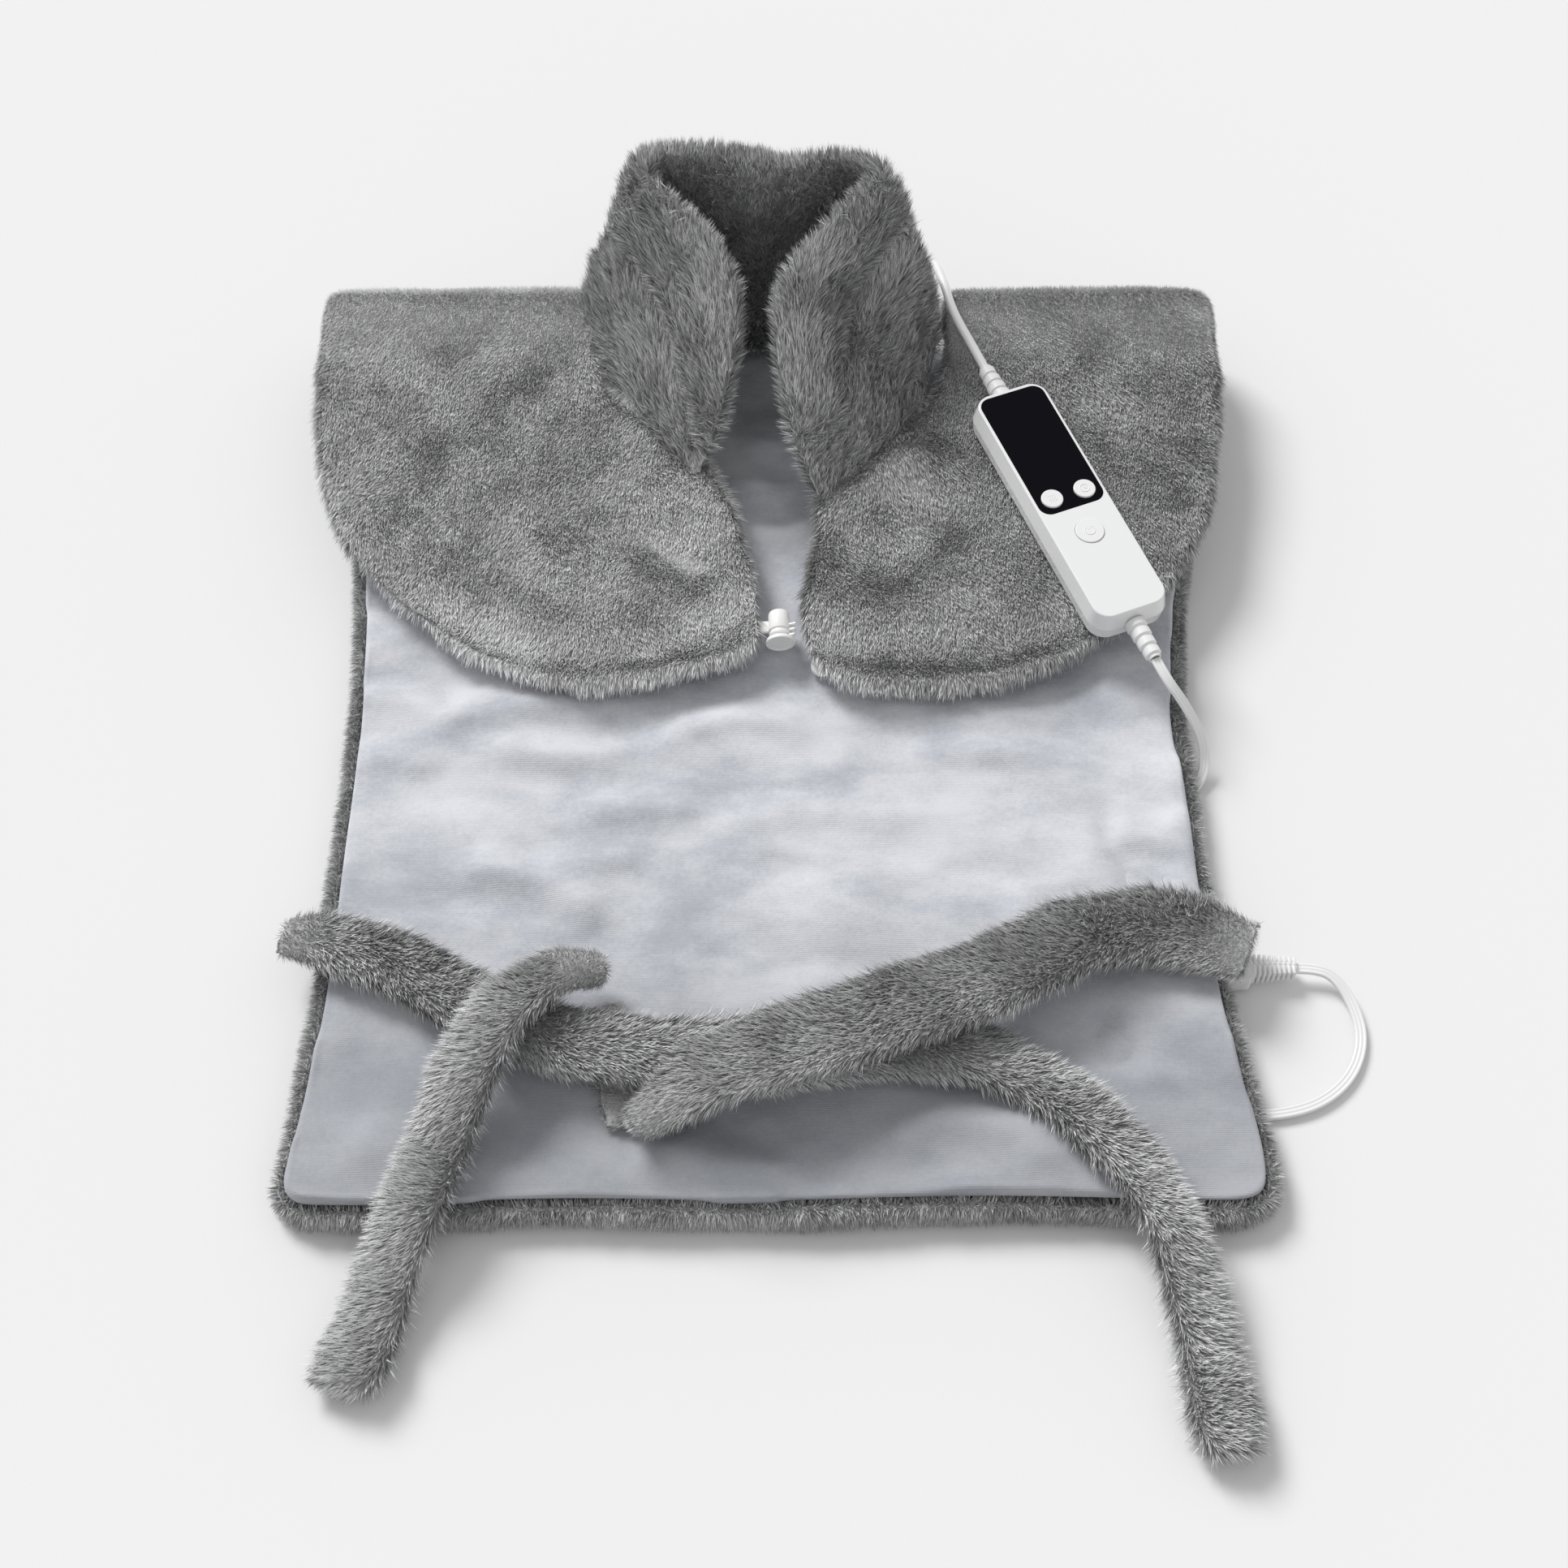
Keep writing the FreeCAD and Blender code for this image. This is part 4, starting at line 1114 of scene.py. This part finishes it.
class Grip:
    """The connector's tapered strain relief: a core with two staggered rows of ribs."""

    length = 0.0240
    root = 0.0062
    tip = 0.0048
    ribs = 9

    def shape(self, bm: bmesh.types.BMesh) -> None:
        """Adds the core and the ribs along Z."""
        turned(bm, ((0.0, 0.0), (0.0, 0.0048), (self.length, 0.0037), (self.length, 0.0)), 32)
        pitch = self.length / self.ribs
        for row, side in enumerate((1.0, -1.0)):
            for step in range(self.ribs):
                at = (step + 0.35 + 0.3 * row) * pitch
                reach = self.root + (self.tip - self.root) * at / self.length
                block(bm, (0.0, side * (reach * 0.5 + 0.0001), at), (reach * 1.72, reach, pitch * 0.58),
                      0.0004)

    def build(self, finishes: Finishes) -> bpy.types.Object:
        """Makes the strain relief in the frame's place."""
        place = facing((0.25905, -0.1050, 0.0090), (1.0, 0.0, 0.0), (0.0, 0.0, 1.0))
        piece = show("connector_relief_ribbed", solid(self.shape, place), finishes.by_slot["relief_white"])
        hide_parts("connector_strain_relief")
        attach(piece, "connector")
        return piece


class Marks:
    """Thin raised marks moulded on the controller's buttons and face; they say nothing."""

    face = 0.0200

    def line(self, name: str, body: str, points: Sequence[tuple[float, float]], height: float, closed: bool,
             finishes: Finishes, slot: Slot) -> None:
        """Makes one raised line.

        Args:
            name: The piece's name.
            body: The body that it rides.
            points: Its route across the controller's face.
            height: How far above the controller's underside.
            closed: Whether it is a ring.
            finishes: The wrap's finishes.
            slot: Its slot.
        """
        curve = bpy.data.curves.new(name, "CURVE")
        curve.dimensions = "3D"
        spline = curve.splines.new("POLY")
        spline.points.add(len(points) - 1)
        for point, (across, along) in zip(spline.points, points):
            point.co = (*on_controller(across, along, height), 1.0)
        spline.use_cyclic_u = closed
        curve.bevel_depth = 0.00028
        curve.bevel_resolution = 2
        curve.use_fill_caps = not closed
        holder = bpy.data.objects.new(name, curve)
        bpy.context.scene.collection.objects.link(holder)
        mesh = settled(holder)
        mesh.shade_smooth()
        piece = show(name, mesh, finishes.by_slot[slot.value])
        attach(piece, body)

    def arc(self, centre: tuple[float, float], radius: float,
            start: float, end: float) -> list[tuple[float, float]]:
        """Points along an arc, its angles in degrees."""
        steps = max(8, round(abs(end - start) / 10))
        angles = [math.radians(start + (end - start) * step / steps) for step in range(steps + 1)]
        return [(centre[0] + radius * math.cos(a), centre[1] + radius * math.sin(a)) for a in angles]

    def build(self, finishes: Finishes) -> None:
        """Makes every mark."""
        heat, timer, power = BUTTON_PLACES
        on_round, on_power = self.face + 0.0012, self.face + 0.0007
        for number, shift in enumerate((-0.0016, 0.0, 0.0016)):
            wave = [(heat[0] + shift + 0.0004 * math.sin(step * 1.3), heat[1] - 0.0022 + 0.00055 * step)
                    for step in range(9)]
            self.line(f"heat_mark_{number}", "heat_button_body", wave, on_round, False, finishes, Slot.BUTTON)
        self.line("timer_mark_ring", "timer_button_body", self.arc(timer, 0.0027, 0, 350), on_round, True,
                  finishes, Slot.BUTTON)
        hands = [(timer[0], timer[1] + 0.0017), timer, (timer[0] + 0.0013, timer[1] - 0.0004)]
        self.line("timer_mark_hands", "timer_button_body", hands, on_round, False, finishes, Slot.BUTTON)
        self.line("power_mark_arc", "power_button_body", self.arc(power, 0.0030, 125, 415), on_power, False,
                  finishes, Slot.BUTTON)
        bar = [(power[0], power[1] + 0.0008), (power[0], power[1] + 0.0038)]
        self.line("power_mark_bar", "power_button_body", bar, on_power, False, finishes, Slot.BUTTON)


# ------------------------------------------------------------------ studio

@dataclass
class Studio:
    """A pale floor, soft light and the camera."""

    camera_place: Point = (0.010, -0.6734, 1.0280)
    target: Point = (0.010, 0.020, 0.0)
    key_from: Point = (-0.62, 0.78, 0.92)
    key_strength: float = 2.52
    key_spread: float = 24.0
    sky_strength: float = 0.64
    floor_grey: float = 0.79

    def build(self) -> None:
        """Sets the studio up."""
        self.floor()
        self.camera()
        self.lamp()
        world = bpy.data.worlds.new("studio")
        world.use_nodes = True
        sky = world.node_tree.nodes["Background"]
        sky.inputs["Color"].default_value = grey(0.9)
        sky.inputs["Strength"].default_value = self.sky_strength
        bpy.context.scene.world = world
        bpy.context.scene.view_settings.view_transform = "Standard"

    def floor(self) -> None:
        """The pale floor."""
        bm = bmesh.new()
        bmesh.ops.create_grid(bm, x_segments=8, y_segments=8, size=20.0)
        mesh = bpy.data.meshes.new("floor")
        bm.to_mesh(mesh)
        bm.free()
        bench, material = Shader.start("floor")
        bench.surface(Base_Color=grey(self.floor_grey), Roughness=0.9, Specular_IOR_Level=0.1)
        show("floor", mesh, material)

    def camera(self) -> None:
        """The camera."""
        data = bpy.data.cameras.new("camera")
        data.lens = 50.0
        data.sensor_width = 36.0
        camera = bpy.data.objects.new("camera", data)
        camera.location = self.camera_place
        away = Vector(self.target) - Vector(self.camera_place)
        camera.rotation_euler = away.to_track_quat("-Z", "Y").to_euler()
        bpy.context.scene.collection.objects.link(camera)
        bpy.context.scene.camera = camera

    def lamp(self) -> None:
        """The soft key light, from above the collar and a little to the left."""
        data = bpy.data.lights.new("key", "SUN")
        data.angle = math.radians(self.key_spread)
        data.energy = self.key_strength
        lamp = bpy.data.objects.new("key", data)
        lamp.rotation_euler = (-Vector(self.key_from)).to_track_quat("-Z", "Y").to_euler()
        bpy.context.scene.collection.objects.link(lamp)


# ------------------------------------------------------------------ the wrap

CONTROLLER_X = Vector((0.9252, 0.3795, 0.0))
CONTROLLER_Y = Vector((-0.37853, 0.92294, 0.06976))
CONTROLLER_Z = Vector((0.02647, -0.06454, 0.99756))
CONTROLLER_CENTRE = Vector((0.176, 0.178, 0.0482))


def on_controller(across: float, along: float, up: float) -> Point:
    """A place in the controller's own frame, in the wrap's frame."""
    return tuple(CONTROLLER_CENTRE + CONTROLLER_X * across + CONTROLLER_Y * along + CONTROLLER_Z * up)


MAINS_RADIUS = 0.00275
FLAT_RADIUS = 0.003
BUTTON_PLACES = ((-0.0105, 0.0015), (0.0105, 0.0015), (0.0, -0.0270))


def outer_pile(places: np.ndarray, normals: np.ndarray) -> np.ndarray:
    """Fur on a flap's outer face and edges, and none underneath."""
    return np.maximum(rise(-0.75, -0.2, normals[:, 2]), places[:, 1] > 0.345)


def rim_pile(places: np.ndarray, normals: np.ndarray) -> np.ndarray:
    """Fur on the shell's rolled edge, clear of the floor and of what the lining covers."""
    covered = (normals[:, 2] > 0.5) & (places[:, 2] < 0.0125)
    return rise(-0.9, -0.4, normals[:, 2]) * rise(0.0015, 0.005, places[:, 2]) * ~covered


def rim_length(places: np.ndarray, normals: np.ndarray) -> np.ndarray:
    """Longer fur round a flap's front edges than on its face, and shorter on the shoulder fold."""
    front = rise(0.33, 0.28, places[:, 1])
    return 0.62 + front * (0.38 + 0.35 * rise(0.95, 0.5, normals[:, 2]))


def belt_length(places: np.ndarray, normals: np.ndarray) -> np.ndarray:
    """Shorter fur at the belts' upper ends."""
    ends = np.array(((-0.258, -0.094), (0.258, -0.108), (-0.066, -0.210), (-0.086, -0.124)))
    nearest = np.min([np.linalg.norm(places[:, :2] - end, axis=1) for end in ends], axis=0)
    return 0.5 + 0.5 * rise(0.012, 0.040, nearest)


def plan_fold(width: float, height: float, *line: tuple[float, float]) -> Fold:
    """A fold in the flat lining, all in millimetres."""
    return Fold([(x / 1000, y / 1000, 0.0) for x, y in line], 1.45 * width / 1000, height / 1000)


LINING_FOLDS = (
    plan_fold(9, 3.2, (-190, 36), (-180, 48), (-166, 57), (-99, 59), (-40, 54)),
    plan_fold(8, 2.2, (-182, 30), (-109, 25), (-66, 22)),
    plan_fold(8, 3.4, (-80, 20), (-43, 41), (-15, 49), (12, 46), (30, 30)),
    plan_fold(7, 2.4, (-240, 68), (-204, 62), (-180, 54)),
    plan_fold(7, 2.2, (-236, 27), (-205, 22), (-180, 13)),
    plan_fold(9, 3.6, (-176, -60), (-153, -51), (-123, -57), (-97, -74), (-90, -96)),
    plan_fold(8, 2.0, (-128, -46), (-60, -44)),
    plan_fold(8, 2.2, (-116, -14), (-30, -11)),
    plan_fold(10, 2.0, (-30, -10), (40, -12), (120, -17)),
    plan_fold(10, -2.2, (-14, -105), (100, -111)),
    plan_fold(5, -2.6, (187, 4), (188, -30), (200, -58), (214, -76)),
    plan_fold(5, -1.4, (190, -36), (208, -40), (232, -51)),
    plan_fold(10, 2.2, (160, -40), (180, -66), (200, -90)),
    plan_fold(9, 2.6, (142, -54), (135, -106)),
    plan_fold(7, 1.4, (226, 40), (228, -26), (226, -80)),
    plan_fold(11, 4.2, (50, -210), (90, -201), (130, -207), (156, -234)),
    plan_fold(8, -3.0, (-30, -196), (-6, -208), (12, -226)),
    plan_fold(10, 3.2, (-70, -214), (-20, -226), (30, -222)),
    plan_fold(8, -3.0, (174, -130), (180, -150), (188, -170)),
    plan_fold(8, 3.0, (-26, 232), (7, 219), (36, 230)),
    plan_fold(8, 2.6, (-24, 196), (7, 187), (40, 198)),
    plan_fold(8, 2.4, (-20, 258), (28, 254)),
    plan_fold(12, 3.0, (-218, -208), (-180, -222), (-150, -212)),
    plan_fold(10, 2.2, (40, 60), (110, 52), (180, 60)),
    plan_fold(9, 2.0, (60, 20), (130, 26), (200, 14)),
)


LEFT_FOLDS = (
    Fold([(-0.235, 0.146, 0.044), (-0.199, 0.116, 0.043), (-0.159, 0.093, 0.042), (-0.112, 0.080, 0.041),
          (-0.067, 0.086, 0.041), (-0.030, 0.100, 0.041), (-0.007, 0.118, 0.042)], 0.018, -0.0036, True),
    Fold([(-0.200, 0.250, 0.052), (-0.150, 0.215, 0.050), (-0.130, 0.170, 0.048)], 0.030, 0.0030),
    Fold([(-0.085, 0.184, 0.047), (-0.069, 0.165, 0.046), (-0.045, 0.147, 0.045),
          (-0.022, 0.141, 0.044)], 0.020, -0.0045),
)
RIGHT_FOLDS = (
    Fold([(0.028, 0.094, 0.041), (0.063, 0.084, 0.041), (0.119, 0.084, 0.041), (0.166, 0.100, 0.042),
          (0.210, 0.126, 0.043)], 0.018, -0.0036, True),
    Fold([(0.031, 0.173, 0.047), (0.051, 0.198, 0.049), (0.080, 0.224, 0.050),
          (0.116, 0.236, 0.051)], 0.020, 0.008),
    Fold([(0.050, 0.120, 0.043), (0.073, 0.150, 0.045), (0.103, 0.178, 0.047),
          (0.132, 0.202, 0.049)], 0.022, -0.0048),
)


class Wrap:
    """The whole wrap."""

    def __init__(self) -> None:
        """Starts with its finishes."""
        self.finishes = Finishes()

    def build(self) -> None:
        """Builds every sub-assembly."""
        self.finishes.dress_nodes()
        self.leads()
        self.panel()
        self.flaps()
        self.collar()
        self.belts()
        Clasp().build(self.finishes)
        Marks().build(self.finishes)

    def leads(self) -> None:
        """All the leads, each as a tube along its route."""
        self.mains_lead()
        self.panel_leads()

    def mains_lead(self) -> None:
        """The mains lead over the shoulder, and its coil, tie and plug behind the collar."""
        over_fold = ("right_flap", "root", (0.12, 0.330, 0.066), (0.104, 0.376, 0.050))
        mains = Lead("mains_lead_over_shoulder",
                     [on_controller(0, 0.1141, 0.009), on_controller(0, 0.1281, 0.010),
                      (0.115, 0.326, 0.070), (0.110, 0.352, 0.072), (0.105, 0.376, 0.066),
                      (0.101, 0.392, 0.046), (0.097, 0.403, 0.024), (0.088, 0.416, 0.007),
                      (0.074, 0.427, 0.0036), (0.062, 0.436, 0.004), (0.0563, 0.446, 0.004)],
                     MAINS_RADIUS, ("mains_lead",), over_fold)
        mains.build(self.finishes, length=0.216, far_end="object", stiffness="medium", lay="loose")
        turns = Coil().route()
        tail = [(-0.0145, 0.407, 0.0034), (-0.024, 0.391, 0.0032), (-0.040, 0.385, 0.0036),
                (-0.051, 0.392, 0.0055), (-0.052, 0.4065, 0.0085)]
        coil = Lead("mains_lead_coil_turns", [mains.route[-1], *turns[1:], *tail], MAINS_RADIUS,
                    ("mains_lead_coil", "plug_lead"))
        nodes = frame["nodes"]
        coil.build(self.finishes, length=1.70, far_end="plug", stiffness="medium", lay="coiled",
                   with_pieces=[nodes["mains_plug"], nodes["plug_strain_relief"], nodes["plug_blades"],
                                nodes["lead_tie"]])

    def panel_leads(self) -> None:
        """The controller's lower lead to the panel's edge, and the loop from there to the connector."""
        under = ("right_flap", "root", (0.226, 0.056, 0.045), (0.250, 0.020, 0.006))
        lower = Lead("panel_lead_flat",
                     [on_controller(0, -0.1145, 0.009), on_controller(0, -0.1271, 0.008),
                      (0.235, 0.051, 0.037), (0.246, 0.041, 0.021), (0.250, 0.029, 0.009),
                      (0.245, 0.016, 0.0038), (0.231, 0.005, 0.0034), (0.216, -0.009, 0.0034),
                      (0.207, -0.029, 0.0034), (0.2056, -0.051, 0.0034), (0.206, -0.07195, 0.0034)],
                     FLAT_RADIUS, ("panel_lead",), under, 3)
        lower.build(self.finishes, length=0.186, far_end="object", stiffness="medium", lay="loose")
        nodes = frame["nodes"]
        slack = ("root", "connector", (0.262, -0.1885, 0.0032), (0.294, -0.105, 0.009))
        loop = Lead("loop_lead_flat",
                    [(0.206, -0.07205, 0.0034), (0.2055, -0.112, 0.0034), (0.2066, -0.146, 0.0034),
                     (0.214, -0.174, 0.0034), (0.236, -0.187, 0.0032), (0.262, -0.1885, 0.0032),
                     (0.287, -0.182, 0.0032), (0.306, -0.166, 0.0032), (0.315, -0.144, 0.0032),
                     (0.312, -0.123, 0.0046), (0.304, -0.1095, 0.0076), (0.294, -0.105, 0.009),
                     (0.2831, -0.105, 0.009)],
                    FLAT_RADIUS, ("loop_lead",), slack, 3)
        loop.build(self.finishes, length=0.284, far_end="connector", stiffness="medium", lay="loose",
                   with_pieces=[nodes["connector_plug"], Grip().build(self.finishes)])

    def panel(self) -> None:
        """The back panel: fur shell and velour lining."""
        pile = Pile(seed=11, length=0.0055, comb=(0.0, -0.3, -0.3),
                    shades=(0.34, 0.46, 0.60, 0.76), root=0.25)
        shell = FurPiece("back_shell", "root", pile, voxel=0.0035, sink=0.0020, rounds=2, lump=0.0018,
                         furred=rim_pile)
        shell.build(self.finishes, Slot.PLUSH)
        Lining(LINING_FOLDS).build(self.finishes)

    def flaps(self) -> None:
        """The two front flaps, folded forwards over the shoulders."""
        # The right flap gets the darker set of strand shades: painted shade on that flap, the same fur as the
        # left one.
        light, dark = (0.66, 0.77, 0.87, 0.95), (0.50, 0.61, 0.72, 0.84)
        for seed, side, folds, shades in ((21, "left", LEFT_FOLDS, light), (22, "right", RIGHT_FOLDS, dark)):
            body = side + "_flap"
            bend = (body, "root", (0.0, 0.340, 0.050), (0.0, 0.356, 0.022))
            pile = Pile(seed=seed, lift=0.34, lay=0.85, swirl=0.32, gather=0.14, stray=0.10,
                        shades=shades, root=0.6)
            flap = FurPiece(body, body, pile, sink=0.0015, rounds=4, lump=0.0018, bend=bend, folds=folds,
                            furred=outer_pile, longer=rim_length)
            flap.build(self.finishes, Slot.PLUSH)
            flap_lining(body + "_lining", body, self.finishes)

    def collar(self) -> None:
        """The standing collar: its back on the panel, its fronts between panel and flaps."""
        Collar().build(self.finishes)

    def belts(self) -> None:
        """The two waist belts, in a loose half-knot."""
        for seed, side in ((41, "left"), (42, "right")):
            inwards = 1.0 if side == "left" else -1.0
            # Each strand's lower face takes the darker root shade: partly painted shade deep in the pile,
            # partly the fur's own darker base under its lighter tips.
            pile = Pile(seed=seed, length=0.0095, comb=(inwards, -0.5, -0.2), segments=2,
                        density=1300000.0, width=0.0008, lift=0.38, gather=0.35, stray=0.16,
                        shades=(0.48, 0.61, 0.74, 0.88), root=0.42)
            belt = FurPiece(side + "_belt", "root", pile, rounds=3, longer=belt_length)
            belt.build(self.finishes, Slot.BELT)


def main() -> None:
    """Builds the wrap and the studio."""
    logging.basicConfig(level=logging.INFO)
    Wrap().build()
    Studio().build()
    bpy.context.view_layer.update()


if __name__ == "__main__":
    main()
